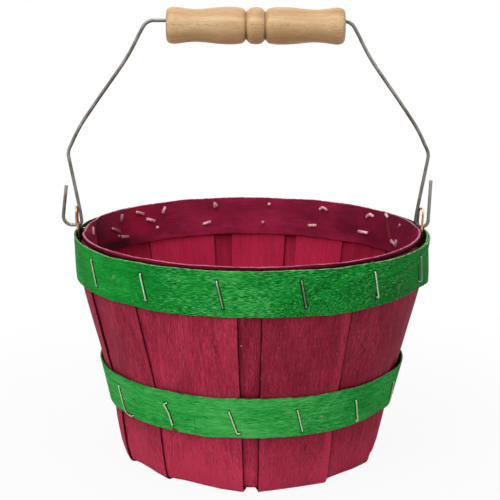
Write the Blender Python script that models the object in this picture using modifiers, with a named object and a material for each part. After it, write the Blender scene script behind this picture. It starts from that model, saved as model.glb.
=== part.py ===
"""Round veneer produce basket with a swinging wire bail and a turned wood grip.

The origin is the centre of the underside, +Z is up, and the bail hinges about X.
Lengths are written in millimetres and turned into metres by MM.
"""
import math

import bmesh
import bpy
import numpy as np
from mathutils import Vector

MM = 0.001
FULL_TURN = 360.0
HALF_TURN = 180.0

# Veneer and hoop stock.
VENEER = 0.9
GAP = 0.3
LEVEL = VENEER + GAP
HOOP_THICK = 1.3

# Outer face of the wall, before the hoops go on.
CORNER_R = 82.0
FOLD_R = 4.0
BEND_Z = 26.0
BEND_R = 89.46
KINK_Z = 123.0
KINK_R = 114.3
KINK_BLEND = 2.5
TOP_R = 115.9
TOP_Z = 151.2
SPLINT_TOP_Z = 149.6

# Splint mat: full stack height inside FLAT_R, spread out to the wall at SPREAD_R. The fold is
# straight across each splint and rounds off above FACET_EASE_Z.
FLAT_R = 42.0
MID_R = 60.0
SPREAD_R = 76.0
FACET_EASE_Z = 12.0
LAP_EASE_Z = 10.0

# Splint ends are trimmed lower where the bail's eyes pass between them.
EYE_ANGLE = 90.0
EYE_DIP = 6.0
EYE_DIP_ANGLE = 19.0
EYE_DIP_EASE_ANGLE = 9.0

# Hoops, as heights above the floor.
RIM_LOW_Z = 123.2
INNER_LOW_Z = 125.2
INNER_HIGH_Z = 152.8
LOWER_LOW_Z = 40.3
LOWER_HIGH_Z = 67.8
LOWER_SHOULDER = 1.0
FACET_ANGLE = 5.0
# The free end climbs over CLIMB_ANGLE degrees and is clear CLEAR_ANGLE degrees before the start.
# Each hoop: the azimuth of its hidden start, how far its free end laps past it in degrees, and
# which way round it runs.
CLIMB_ANGLE = 9.0
CLEAR_ANGLE = 2.0
RIM_LAP_ANGLES = (36.0, 38.0, 1.0)
INNER_LAP_ANGLES = (269.5, 14.0, -1.0)
LOWER_LAP_ANGLES = (142.0, 14.0, 1.0)

# Bail wire. It hangs a little to the left in its eyes, so its two sides differ by BAIL_SHIFT.
WIRE_R = 1.15
BAIL_CLEARANCE = 0.35
PIVOT_Z = INNER_HIGH_Z + BAIL_CLEARANCE + WIRE_R
BAIL_TOP_Z = 289.3
BAIL_SHIFT = 2.2
SHOULDER_OUT = 2.8
SHOULDER_X = TOP_R + SHOULDER_OUT
SHOULDER_Z = 203.0

# Eyes: wire loops with feet between the rim hoop and the splints. Above the rim the left one
# leans out, and the right one leans in and is turned.
EYE_WIRE_R = 0.75
EYE_SEAT = 0.05
EYE_CLEARANCE = 1.5
EYE_HALF = WIRE_R + EYE_WIRE_R + EYE_CLEARANCE
EYE_X = TOP_R - EYE_WIRE_R - EYE_SEAT
EYE_RISE = 12.4
EYE_FOOT_RISE = 5.8
EYE_FOOT_Z = RIM_LOW_Z + EYE_FOOT_RISE
EYE_TOP_Z = PIVOT_Z + EYE_RISE
EYE_BEND_Z = EYE_TOP_Z - EYE_HALF
EYE_TWIST_Z = 157.0
LEFT_EYE_LEAN = 1.4
LEFT_EYE_ANGLE = 0.0
RIGHT_EYE_LEAN = -1.3
RIGHT_EYE_ANGLE = 25.0

# Hooks. Legs and tails are measured from the plane of their eye at the rim.
LEFT_LEG = 1.9
LEFT_NEAR_BEND = 3.0
LEFT_FAR_BEND = 6.0
LEFT_TAIL = 10.3
LEFT_TAIL_LEAN = -2.5
LEFT_TAIL_RISE = 26.5
RIGHT_LEG = 5.5
RIGHT_NEAR_BEND = 4.2
RIGHT_FAR_BEND = 4.2
RIGHT_TAIL = 2.9
RIGHT_TAIL_LEAN = 0.9
RIGHT_TAIL_RISE = 31.0

# Grip, bored out over the straight run of the bail.
GRIP_HALF = 57.6
GRIP_R = 12.0
GRIP_X = 2.2
GRIP_DROP = 3.1
BORE_CLEARANCE = 0.25
BORE_R = GRIP_DROP + WIRE_R + BORE_CLEARANCE
GRIP_Z = BAIL_TOP_Z - GRIP_DROP
GRIP_MARGIN = 2.9
BAIL_STRAIGHT = GRIP_HALF + GRIP_MARGIN

# Shares of the run and of the drop along three curves: the bail from its straight part to the
# shoulder, the bail from the shoulder to the hook, and the turned outline of half the grip.
BAIL_SHAPE = [(0.036, 0.001), (0.082, 0.012), (0.122, 0.035), (0.167, 0.086), (0.333, 0.289),
              (0.650, 0.590), (0.854, 0.791), (0.964, 0.935), (0.990, 0.972), (1.0, 1.0)]
NECK_SHAPE = [(0.027, 0.069), (0.240, 0.264), (0.587, 0.575), (0.893, 0.862)]
GRIP_SHAPE = [(0.0, 0.99), (0.055, 0.955), (0.108, 0.745), (0.155, 0.935), (0.265, 1.0),
              (0.415, 0.975), (0.540, 0.912), (0.668, 0.870), (0.781, 0.908), (0.905, 0.98),
              (0.965, 0.93), (1.0, 0.715)]

# Staples of square wire, driven from outside and clinched inside. Each pair gives the azimuths
# of the upper and the lower leg. Three at the back were driven askew, the last one across
# another staple.
STAPLE_WIRE = 1.0
STAPLE_SEAT = 0.25
STAPLE_FIT = 0.3
STAPLE_HOLE = STAPLE_WIRE + 2.0 * STAPLE_FIT
STAPLE_SPAN = 16.5
CLINCH = 4.6
HOLE_SPARE = 2.0
FRONT_STAPLE_DROP = 5.8
BACK_STAPLE_DROP = 3.2
LOWER_STAPLE_DROP = 8.4
LOWER_STAPLE_SPAN = 15.8
FRONT_STAPLE_ANGLES = [(-57.9, -55.5), (-34.4, -32.6), (-9.9, -8.1), (14.6, 16.4),
                       (38.7, 41.0), (64.6, 67.0)]
BACK_STAPLE_ANGLES = [(109.7, 112.1), (129.9, 132.4), (151.9, 154.6), (172.9, 175.5),
                      (194.4, 197.2), (215.6, 218.6), (236.7, 239.4), (262.2, 264.6)]
ASKEW_STAPLE_ANGLES = [(120.4, 114.6), (227.9, 221.0), (243.2, 234.0)]
ASKEW_STAPLE_DROPS = [(3.2, 18.0), (3.6, 13.2), (10.1, 19.3)]
LOWER_STAPLE_ANGLES = [(-58.6, -56.8), (-32.6, -30.0), (-7.7, -5.0), (16.8, 19.8),
                       (42.2, 45.6), (68.6, 71.4), (94.4, 97.2), (120.2, 123.0),
                       (146.1, 148.9), (171.9, 174.7), (197.7, 200.5), (223.5, 226.3),
                       (249.4, 252.2), (268.4, 271.2)]
SPLINT_MARGIN_ANGLE = 1.5
FLOOR_STAPLE_ANGLE = 82.0
FLOOR_STAPLE_TIP = 0.2

# Azimuths are degrees from the front, towards the right. Every splint crosses the floor,
# so its far end repeats these 180 degrees round. Each row list runs from edge to edge.
OUTER_ROWS = [
    [3.5, 8.25, 13.0, 17.75, 22.5, 27.25, 32.0],
    [29.0, 32.0, 38.6, 45.2, 51.8, 58.4, 65.0],
    [62.0, 65.0, 72.0, 79.0, 86.0],
    [83.0, 86.0, 90.0, 94.5, 101.3, 108.2, 115.0],
    [112.0, 115.0, 121.75, 128.5, 135.25, 142.0],
    [139.0, 142.0, 148.7, 155.5, 162.2, 169.0, 175.7],
]
INNER_ROWS = [
    [-13.2, -8.75, -4.3, -0.4, 3.5, 7.6],
    [14.7, 20.5, 26.25, 32.0, 37.0, 42.0],
    [52.0, 58.5, 65.0, 70.3, 75.6, 81.0],
    [96.0, 102.3, 108.7, 115.0, 117.0],
    [120.0, 126.5, 133.0, 139.5],
    [142.5, 149.0, 155.5, 162.0],
]
SPLINT_WAIST = 0.86
EYE_SPLINT = 3
EYE_SPLINT_LEVELS = 1.5
FACETS = [3.5, 32.0, 65.0, 86.0, 115.0, 142.0, 175.7, 183.5]

LOWER_TILT = math.atan2(BEND_R - CORNER_R, BEND_Z)
WALL_TILT = math.atan2(KINK_R - BEND_R, KINK_Z - BEND_Z)
RIM_TILT = math.atan2(TOP_R - KINK_R, TOP_Z - KINK_Z)
CORNER_IN = -(1.0 - math.sin(LOWER_TILT)) / math.cos(LOWER_TILT)
FOLD_START = CORNER_R + FOLD_R * CORNER_IN

MATERIAL_COLOURS = {
    "dyed_red_veneer": (0.42, 0.035, 0.085, 0.0, 0.62),
    "dyed_red_veneer_inner": (0.48, 0.06, 0.11, 0.0, 0.62),
    "dyed_green_hoop": (0.015, 0.33, 0.055, 0.0, 0.5),
    "dyed_red_hoop": (0.5, 0.05, 0.12, 0.0, 0.55),
    "galvanised_wire": (0.45, 0.45, 0.44, 1.0, 0.38),
    "copper_wire": (0.62, 0.3, 0.16, 1.0, 0.35),
    "turned_birch": (0.78, 0.58, 0.36, 0.0, 0.48),
    "staple_wire": (0.62, 0.57, 0.46, 1.0, 0.35),
}


def wall_profile(z):
    """Outer radius and tilt of the wall at height z."""
    if z <= BEND_Z:
        return CORNER_R + z * math.tan(LOWER_TILT), LOWER_TILT
    if z <= KINK_Z:
        return BEND_R + (z - BEND_Z) * math.tan(WALL_TILT), WALL_TILT
    return KINK_R + (z - KINK_Z) * math.tan(RIM_TILT), RIM_TILT


def wall_station(z, tilt=None, facet=0.0):
    """A place on the wall: profile point, inward offset vector, facet strength."""
    radius, own_tilt = wall_profile(z)
    angle = own_tilt if tilt is None else tilt
    return {"r": radius, "z": z, "in_r": -math.cos(angle), "in_z": math.sin(angle),
            "facet": facet, "spread": 0.0}


def splint_top(azimuth):
    """Height of a splint's trimmed end, lower on both sides of the eyes."""
    away = abs((azimuth - EYE_ANGLE + 0.5 * HALF_TURN) % HALF_TURN - 0.5 * HALF_TURN)
    dip = min(1.0, max(0.0, (EYE_DIP_ANGLE - away) / EYE_DIP_EASE_ANGLE))
    return SPLINT_TOP_Z - EYE_DIP * dip


def splint_stations():
    """Stations along half a splint, from the middle of the floor to below its top edge."""
    stations = []
    for radius, spread, facet in ((FLAT_R, 1.0, 0.0),
                                  (MID_R, (SPREAD_R - MID_R) / (SPREAD_R - FLAT_R), 0.15),
                                  (SPREAD_R, 0.0, 0.75)):
        stations.append({"r": radius, "z": 0.0, "in_r": 0.0, "in_z": 1.0,
                         "facet": facet, "spread": spread})
    for step in range(4):
        angle = (0.5 * math.pi - LOWER_TILT) * step / 3.0
        stations.append({"r": FOLD_START + FOLD_R * math.sin(angle),
                         "z": FOLD_R * (1.0 - math.cos(angle)),
                         "in_r": CORNER_IN, "in_z": 1.0, "facet": 0.85, "spread": 0.0})
    stations.append(wall_station(FACET_EASE_Z, None, 0.55))
    stations.append(wall_station(BEND_Z, 0.5 * (LOWER_TILT + WALL_TILT), 0.2))
    stations.append(wall_station(LOWER_LOW_Z - LOWER_SHOULDER))
    stations.append(wall_station(KINK_Z - KINK_BLEND, 0.75 * WALL_TILT + 0.25 * RIM_TILT))
    stations.append(wall_station(KINK_Z + KINK_BLEND, 0.25 * WALL_TILT + 0.75 * RIM_TILT))
    return stations


def facet_factor(azimuth, strength):
    """Pulls the floor edge in to a straight fold across each outer splint."""
    if strength == 0.0:
        return 1.0
    turned = (azimuth - FACETS[0]) % HALF_TURN + FACETS[0]
    for low, high in zip(FACETS[:-1], FACETS[1:]):
        if low - 1e-6 <= turned <= high + 1e-6:
            half = 0.5 * (high - low)
            away = turned - 0.5 * (high + low)
            flat = math.cos(math.radians(half)) / math.cos(math.radians(away))
            return 1.0 - strength * (1.0 - flat)
    return 1.0


def surface_point(azimuth, station, depth):
    """A point at a depth inside the outer face, in millimetres."""
    radius = station["r"] * facet_factor(azimuth, station["facet"])
    radius += station["in_r"] * depth
    turn = math.radians(azimuth)
    height = station["z"] + station["in_z"] * depth
    return Vector((radius * math.sin(turn), -radius * math.cos(turn), height))


def splint_level(order, outer, across, station):
    """Number of veneer levels between the outer face and this splint."""
    lap = min(1.0, max(0.0, (0.45 - across) / 0.9))
    if order in (0, 6):
        lap = 0.0
    settled = lap
    if not outer:
        fade = 1.0
        if station["z"] > LAP_EASE_Z:
            fade = max(0.0, (BEND_Z - station["z"]) / (BEND_Z - FOLD_R))
        settled = 2.0 + lap * fade
    elif order == EYE_SPLINT and station["z"] > KINK_Z:
        settled = lap * EYE_SPLINT_LEVELS
    return order * station["spread"] + (1.0 - station["spread"]) * settled


def make_material(name):
    """A Principled material for one kind of stock."""
    red, green, blue, metallic, roughness = MATERIAL_COLOURS[name]
    material = bpy.data.materials.new(name)
    material.use_nodes = True
    shader = material.node_tree.nodes["Principled BSDF"]
    shader.inputs["Base Color"].default_value = (red, green, blue, 1.0)
    shader.inputs["Metallic"].default_value = metallic
    shader.inputs["Roughness"].default_value = roughness
    return material


def add_object(name, mesh, material_name, collection, materials):
    """Puts a finished mesh into the basket's collection as a named object."""
    if material_name not in materials:
        materials[material_name] = make_material(material_name)
    mesh.materials.clear()
    mesh.materials.append(materials[material_name])
    item = bpy.data.objects.new(name, mesh)
    collection.objects.link(item)
    return item


def sheet_mesh(name, low, high):
    """Closes two equal grids of points into one thin solid with a rim."""
    rows = len(low)
    columns = len(low[0])
    mesh = bmesh.new()
    under = [[mesh.verts.new(point * MM) for point in line] for line in low]
    over = [[mesh.verts.new(point * MM) for point in line] for line in high]
    for i in range(rows - 1):
        for j in range(columns - 1):
            mesh.faces.new((under[i][j], under[i][j + 1], under[i + 1][j + 1], under[i + 1][j]))
            mesh.faces.new((over[i][j], over[i + 1][j], over[i + 1][j + 1], over[i][j + 1]))
    for i in range(rows - 1):
        mesh.faces.new((under[i][0], under[i + 1][0], over[i + 1][0], over[i][0]))
        mesh.faces.new((under[i + 1][-1], under[i][-1], over[i][-1], over[i + 1][-1]))
    for j in range(columns - 1):
        mesh.faces.new((under[0][j + 1], under[0][j], over[0][j], over[0][j + 1]))
        mesh.faces.new((under[-1][j], under[-1][j + 1], over[-1][j + 1], over[-1][j]))
    bmesh.ops.recalc_face_normals(mesh, faces=mesh.faces)
    if mesh.calc_volume(signed=True) < 0.0:
        bmesh.ops.reverse_faces(mesh, faces=mesh.faces)
    data = bpy.data.meshes.new(name)
    mesh.to_mesh(data)
    mesh.free()
    return data


def make_splint(name, order, rows, outer):
    """One veneer strip: up one wall, straight across the floor, up the other wall."""
    stations = splint_stations()
    centre = 0.5 * (rows[0] + rows[-1])
    half = 0.5 * (rows[-1] - rows[0])
    side = Vector((math.cos(math.radians(centre)), math.sin(math.radians(centre)), 0.0))
    grids = []
    for face_depth in (0.0, VENEER):
        arms = []
        for turn in (0.0, HALF_TURN):
            arm = []
            for station in stations:
                line = []
                for azimuth in rows:
                    across = (azimuth - centre) / half
                    depth = LEVEL * splint_level(order, outer, across, station) + face_depth
                    if station["z"] == 0.0 and station["r"] < FOLD_START - 1e-6:
                        line.append(floor_point(azimuth, turn, side, centre, station, depth))
                    else:
                        line.append(surface_point(azimuth + turn, station, depth))
                arm.append(line)
            ends = []
            for azimuth in rows:
                station = wall_station(splint_top(azimuth + turn))
                level = splint_level(order, outer, (azimuth - centre) / half, station)
                ends.append(surface_point(azimuth + turn, station, LEVEL * level + face_depth))
            arm.append(ends)
            arms.append(arm)
        middle = []
        stack = LEVEL * order + face_depth
        for azimuth in rows:
            reach = CORNER_R * SPLINT_WAIST * math.sin(math.radians(azimuth - centre))
            middle.append(side * reach + Vector((0.0, 0.0, stack)))
        far = [list(reversed(line)) for line in arms[1]]
        grids.append(list(reversed(far)) + [middle] + arms[0])
    return sheet_mesh(name, grids[0], grids[1])


def floor_point(azimuth, turn, side, centre, station, depth):
    """A point of a straight row on the floor, found at the station's true radius."""
    flip = -1.0 if turn else 1.0
    offset = math.sin(math.radians(azimuth - centre))
    start = side * (CORNER_R * SPLINT_WAIST * offset)
    angle = math.radians(azimuth)
    end = Vector((math.sin(angle), -math.cos(angle), 0.0)) * FOLD_START
    way = end - start
    a = way.length_squared
    b = 2.0 * start.dot(way)
    c = start.length_squared - station["r"] ** 2
    reach = (-b + math.sqrt(b * b - 4.0 * a * c)) / (2.0 * a)
    point = (start + way * reach) * flip
    heading = math.degrees(math.atan2(point.x, -point.y))
    point = point * facet_factor(heading, station["facet"])
    return Vector((point.x, point.y, depth))


def hoop_climb(azimuth, lap):
    """How far the hoop stands off its base here, on its way over its own start."""
    start, reach, direction = lap
    travelled = (direction * (azimuth - start)) % FULL_TURN
    if travelled < reach:
        travelled += FULL_TURN
    past = travelled - (FULL_TURN - CLIMB_ANGLE - CLEAR_ANGLE)
    return (HOOP_THICK + GAP) * min(1.0, max(0.0, past / CLIMB_ANGLE))


def make_hoop(name, low_z, high_z, depth, lap, lap_inward):
    """A bent band whose free end laps over its start."""
    start, reach, direction = lap
    count = int(round((FULL_TURN + reach) / FACET_ANGLE))
    sign = 1.0 if lap_inward else -1.0
    low_grid = []
    high_grid = []
    for i in range(count + 1):
        travelled = (FULL_TURN + reach) * i / count
        past = travelled - (FULL_TURN - CLIMB_ANGLE - CLEAR_ANGLE)
        climb = sign * (HOOP_THICK + GAP) * min(1.0, max(0.0, past / CLIMB_ANGLE))
        turn = start + direction * travelled
        outer_line = []
        inner_line = []
        for z in (low_z, high_z):
            station = wall_station(z)
            outer_line.append(surface_point(turn, station, depth + climb))
            inner_line.append(surface_point(turn, station, depth + climb + HOOP_THICK))
        low_grid.append(outer_line)
        high_grid.append(inner_line)
    return sheet_mesh(name, low_grid, high_grid)


def has_inner_splint(turns):
    """Whether an inner splint lies behind any of these azimuths."""
    for rows in INNER_ROWS:
        for turn in turns:
            folded = (turn - rows[0] + SPLINT_MARGIN_ANGLE) % HALF_TURN
            if folded <= rows[-1] - rows[0] + 2.0 * SPLINT_MARGIN_ANGLE:
                return True
    return False


def staple_path(turns, heights, crown_depth, clinch_depth):
    """Five straight runs of one staple, and the three directions of its frame."""
    top = surface_point(turns[0], wall_station(heights[0]), crown_depth)
    low = surface_point(turns[1], wall_station(heights[1]), crown_depth)
    down = (low - top).normalized()
    middle = math.radians(0.5 * (turns[0] + turns[1]))
    tilt = wall_profile(0.5 * (heights[0] + heights[1]))[1]
    inward = Vector((-math.cos(tilt) * math.sin(middle), math.cos(tilt) * math.cos(middle),
                     math.sin(tilt)))
    inward = (inward - down * inward.dot(down)).normalized()
    side = down.cross(inward)
    run = inward * (clinch_depth - crown_depth)
    points = [top + run + down * CLINCH, top + run, top, low, low + run,
              low + run - down * CLINCH]
    return points, down, inward, side


def staple_mesh(name, points, side):
    """Square wire bent in one plane, with mitred corners."""
    half = 0.5 * STAPLE_WIRE
    mesh = bmesh.new()
    rings = []
    for i, point in enumerate(points):
        normals = []
        if i > 0:
            normals.append((point - points[i - 1]).normalized().cross(side))
        if i < len(points) - 1:
            normals.append((points[i + 1] - point).normalized().cross(side))
        mitre = sum(normals, Vector((0.0, 0.0, 0.0)))
        if len(normals) == 2:
            mitre = mitre / (1.0 + normals[0].dot(normals[1]))
        ring = [point + side * half + mitre * half, point - side * half + mitre * half,
                point - side * half - mitre * half, point + side * half - mitre * half]
        rings.append([mesh.verts.new(corner * MM) for corner in ring])
    for first, second in zip(rings[:-1], rings[1:]):
        for k in range(4):
            mesh.faces.new((first[k], first[(k + 1) % 4], second[(k + 1) % 4], second[k]))
    mesh.faces.new(rings[0])
    mesh.faces.new(rings[-1])
    bmesh.ops.recalc_face_normals(mesh, faces=mesh.faces)
    if mesh.calc_volume(signed=True) < 0.0:
        bmesh.ops.reverse_faces(mesh, faces=mesh.faces)
    data = bpy.data.meshes.new(name)
    mesh.to_mesh(data)
    mesh.free()
    return data


def add_hole(cutter, centre, ahead, across, along, reach):
    """Adds one square hole, as a closed box, to a cutter."""
    half = 0.5 * STAPLE_HOLE
    box = bmesh.ops.create_cube(cutter, size=1.0)
    for vert in box["verts"]:
        place = vert.co * 2.0
        spot = centre + ahead * (place.x * half) + across * (place.y * half)
        vert.co = (spot + along * (place.z * 0.5 * reach)) * MM


def smooth_path(points, per_span):
    """Rounded path through control points, as a list of (x, z) pairs."""
    full = [np.array(point, dtype=float) for point in [points[0]] + list(points) + [points[-1]]]
    path = []
    for p0, p1, p2, p3 in zip(full, full[1:], full[2:], full[3:]):
        for k in range(per_span):
            t = k / per_span
            path.append(0.5 * ((2.0 * p1) + (p2 - p0) * t
                               + (2.0 * p0 - 5.0 * p1 + 4.0 * p2 - p3) * t * t
                               + (3.0 * p1 - p0 - 3.0 * p2 + p3) * t ** 3))
    path.append(full[-2])
    return path


def bail_half(shift, leg, near_bend, far_bend, tail, tail_lean, tail_rise):
    """Centreline of one side of the bail as (distance from the middle, height) pairs.

    It runs from the straight part over the shoulder and down the leg, under the eye in a
    narrow or a wide hook, and up the tail.
    """
    first = BAIL_STRAIGHT + shift
    shoulder = SHOULDER_X + shift
    leg_x = EYE_X - leg
    tail_x = EYE_X + tail
    hook_z = PIVOT_Z + near_bend
    slope = [(first + (shoulder - first) * run, BAIL_TOP_Z - (BAIL_TOP_Z - SHOULDER_Z) * drop)
             for run, drop in BAIL_SHAPE]
    path = [(first, BAIL_TOP_Z)]
    path += [tuple(point) for point in smooth_path(slope, 2)]
    path += [(shoulder - (shoulder - leg_x) * run, SHOULDER_Z - (SHOULDER_Z - hook_z) * drop)
             for run, drop in NECK_SHAPE]
    for step in range(5):
        angle = 0.5 * math.pi * step / 4.0
        path.append((leg_x + near_bend * (1.0 - math.cos(angle)),
                     PIVOT_Z + near_bend * (1.0 - math.sin(angle))))
    first_step = 0 if tail_x - leg_x > near_bend + far_bend + GAP else 1
    for step in range(first_step, 5):
        angle = 0.5 * math.pi * step / 4.0
        path.append((tail_x - far_bend * (1.0 - math.sin(angle)),
                     PIVOT_Z + far_bend * (1.0 - math.cos(angle))))
    path.append((tail_x + 0.5 * tail_lean, PIVOT_Z + 0.5 * (far_bend + tail_rise)))
    path.append((tail_x + tail_lean, PIVOT_Z + tail_rise))
    return path


def tube_mesh(name, points, radius):
    """A round wire with filled ends along a list of points, in millimetres."""
    curve = bpy.data.curves.new(name + "_path", "CURVE")
    curve.dimensions = "3D"
    curve.bevel_depth = radius * MM
    curve.bevel_resolution = 2
    curve.use_fill_caps = True
    spline = curve.splines.new("POLY")
    spline.points.add(len(points) - 1)
    for slot, point in zip(spline.points, points):
        slot.co = (point[0] * MM, point[1] * MM, point[2] * MM, 1.0)
    carrier = bpy.data.objects.new(name + "_carrier", curve)
    bpy.context.scene.collection.objects.link(carrier)
    graph = bpy.context.evaluated_depsgraph_get()
    mesh = bpy.data.meshes.new_from_object(carrier.evaluated_get(graph))
    bpy.data.objects.remove(carrier, do_unlink=True)
    body = bmesh.new()
    body.from_mesh(mesh)
    bmesh.ops.remove_doubles(body, verts=body.verts, dist=0.000005)
    bmesh.ops.recalc_face_normals(body, faces=body.faces)
    if body.calc_volume(signed=True) < 0.0:
        bmesh.ops.reverse_faces(body, faces=body.faces)
    body.to_mesh(mesh)
    body.free()
    mesh.name = name
    return mesh


def eye_points(side, lean, twist_angle):
    """Centreline of an eye: two feet down between hoop and splints, bent over on top.

    Above the rim it leans outwards by lean and turns about the vertical by twist_angle.
    """
    foot_x = wall_profile(EYE_FOOT_Z)[0] - EYE_WIRE_R - EYE_SEAT
    loop = [(foot_x, -1.0, EYE_FOOT_Z), (EYE_X, -1.0, TOP_Z),
            (EYE_X, -1.0, 0.5 * (TOP_Z + EYE_TWIST_Z)), (EYE_X, -1.0, EYE_TWIST_Z)]
    for step in range(9):
        angle = math.pi * step / 8.0
        loop.append((EYE_X, -math.cos(angle), EYE_BEND_Z + EYE_HALF * math.sin(angle)))
    loop += [(EYE_X, 1.0, EYE_TWIST_Z), (EYE_X, 1.0, 0.5 * (TOP_Z + EYE_TWIST_Z)),
             (EYE_X, 1.0, TOP_Z), (foot_x, 1.0, EYE_FOOT_Z)]
    points = []
    for x, across, z in loop:
        share = min(1.0, max(0.0, (z - TOP_Z) / (EYE_TWIST_Z - TOP_Z)))
        turn = math.radians(twist_angle) * share
        reach = EYE_HALF * across
        points.append((side * (x + lean * share - reach * math.sin(turn)),
                       reach * math.cos(turn), z))
    return points


def grip_mesh(name):
    """Turned handle: a bead between two grooves, two waisted halves, a plain bore."""
    profile = [(GRIP_R * size, GRIP_HALF * along) for along, size in reversed(GRIP_SHAPE)]
    profile += [(GRIP_R * size, -GRIP_HALF * along) for along, size in GRIP_SHAPE[1:]]
    profile += [(BORE_R, -GRIP_HALF), (BORE_R, GRIP_HALF)]
    mesh = bpy.data.meshes.new(name)
    ring = bmesh.new()
    verts = [ring.verts.new((r * MM, 0.0, z * MM)) for r, z in profile]
    for first, second in zip(verts, verts[1:] + verts[:1]):
        ring.edges.new((first, second))
    ring.to_mesh(mesh)
    ring.free()
    return mesh


def staple_rows():
    """Every staple through the wall: name, leg azimuths, leg heights, hoop lap, riding staple."""
    rows = []
    front = (TOP_Z - FRONT_STAPLE_DROP, TOP_Z - FRONT_STAPLE_DROP - STAPLE_SPAN)
    back = (TOP_Z - BACK_STAPLE_DROP, TOP_Z - BACK_STAPLE_DROP - STAPLE_SPAN)
    rim = [(turns, front) for turns in FRONT_STAPLE_ANGLES]
    rim += [(turns, back) for turns in BACK_STAPLE_ANGLES]
    rim += [(turns, (TOP_Z - drops[0], TOP_Z - drops[1]))
            for turns, drops in zip(ASKEW_STAPLE_ANGLES, ASKEW_STAPLE_DROPS)]
    for index, (turns, heights) in enumerate(rim):
        name = "rim_staple_%02d" % (index + 1)
        rows.append((name, turns, heights, RIM_LAP_ANGLES, index == len(rim) - 1))
    upper_z = LOWER_HIGH_Z - LOWER_STAPLE_DROP
    for index, turns in enumerate(LOWER_STAPLE_ANGLES):
        name = "lower_staple_%02d" % (index + 1)
        rows.append((name, turns, (upper_z, upper_z - LOWER_STAPLE_SPAN), LOWER_LAP_ANGLES, False))
    return rows


def make_staples(collection, cutters, materials):
    """Every staple, and one cutter with a square hole for each of their legs."""
    holes = bmesh.new()
    seat = STAPLE_SEAT + 0.5 * STAPLE_WIRE
    for name, turns, heights, lap, riding in staple_rows():
        climb = max(hoop_climb(turn, lap) for turn in turns)
        bulge = TOP_R * (1.0 - math.cos(math.radians(0.5 * (turns[1] - turns[0]))))
        crown = -(GAP + HOOP_THICK) - climb - bulge - seat
        if riding:
            crown -= STAPLE_WIRE + STAPLE_FIT
        if lap == RIM_LAP_ANGLES:
            climb = max(hoop_climb(turn, INNER_LAP_ANGLES) for turn in turns)
            clinch = 2.0 * LEVEL + VENEER + GAP + HOOP_THICK + climb + seat
        elif has_inner_splint(turns):
            clinch = 2.0 * LEVEL + VENEER + seat
        else:
            clinch = LEVEL + VENEER + seat
        points, down, inward, side = staple_path(turns, heights, crown, clinch)
        mesh = staple_mesh(name, points, side)
        add_object(name, mesh, "staple_wire", collection, materials)
        reach = clinch - crown
        for corner in (points[2], points[3]):
            middle = corner + inward * (0.5 * reach)
            add_hole(holes, middle, down, side, inward, reach + 2.0 * HOLE_SPARE)

    # The floor staple ties the whole stack of splints together at the middle.
    turn = math.radians(FLOOR_STAPLE_ANGLE)
    along = Vector((math.cos(turn), math.sin(turn), 0.0))
    side = Vector((-math.sin(turn), math.cos(turn), 0.0))
    top_z = LEVEL * (len(OUTER_ROWS) + len(INNER_ROWS)) - GAP + seat
    lift = Vector((0.0, 0.0, top_z))
    tip = Vector((0.0, 0.0, FLOOR_STAPLE_TIP))
    ends = (along * (-0.5 * STAPLE_SPAN), along * (0.5 * STAPLE_SPAN))
    points = [ends[0] + tip, ends[0] + lift, ends[1] + lift, ends[1] + tip]
    mesh = staple_mesh("floor_staple", points, side)
    add_object("floor_staple", mesh, "staple_wire", collection, materials)
    up = Vector((0.0, 0.0, 1.0))
    for end in ends:
        add_hole(holes, end + up * (0.5 * top_z), along, side, up, top_z + 2.0 * HOLE_SPARE)

    bmesh.ops.recalc_face_normals(holes, faces=holes.faces)
    data = bpy.data.meshes.new("staple_holes")
    holes.to_mesh(data)
    holes.free()
    cutter = bpy.data.objects.new("staple_holes", data)
    cutters.objects.link(cutter)
    cutter.hide_render = True
    cutter.display_type = "WIRE"
    return cutter


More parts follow.
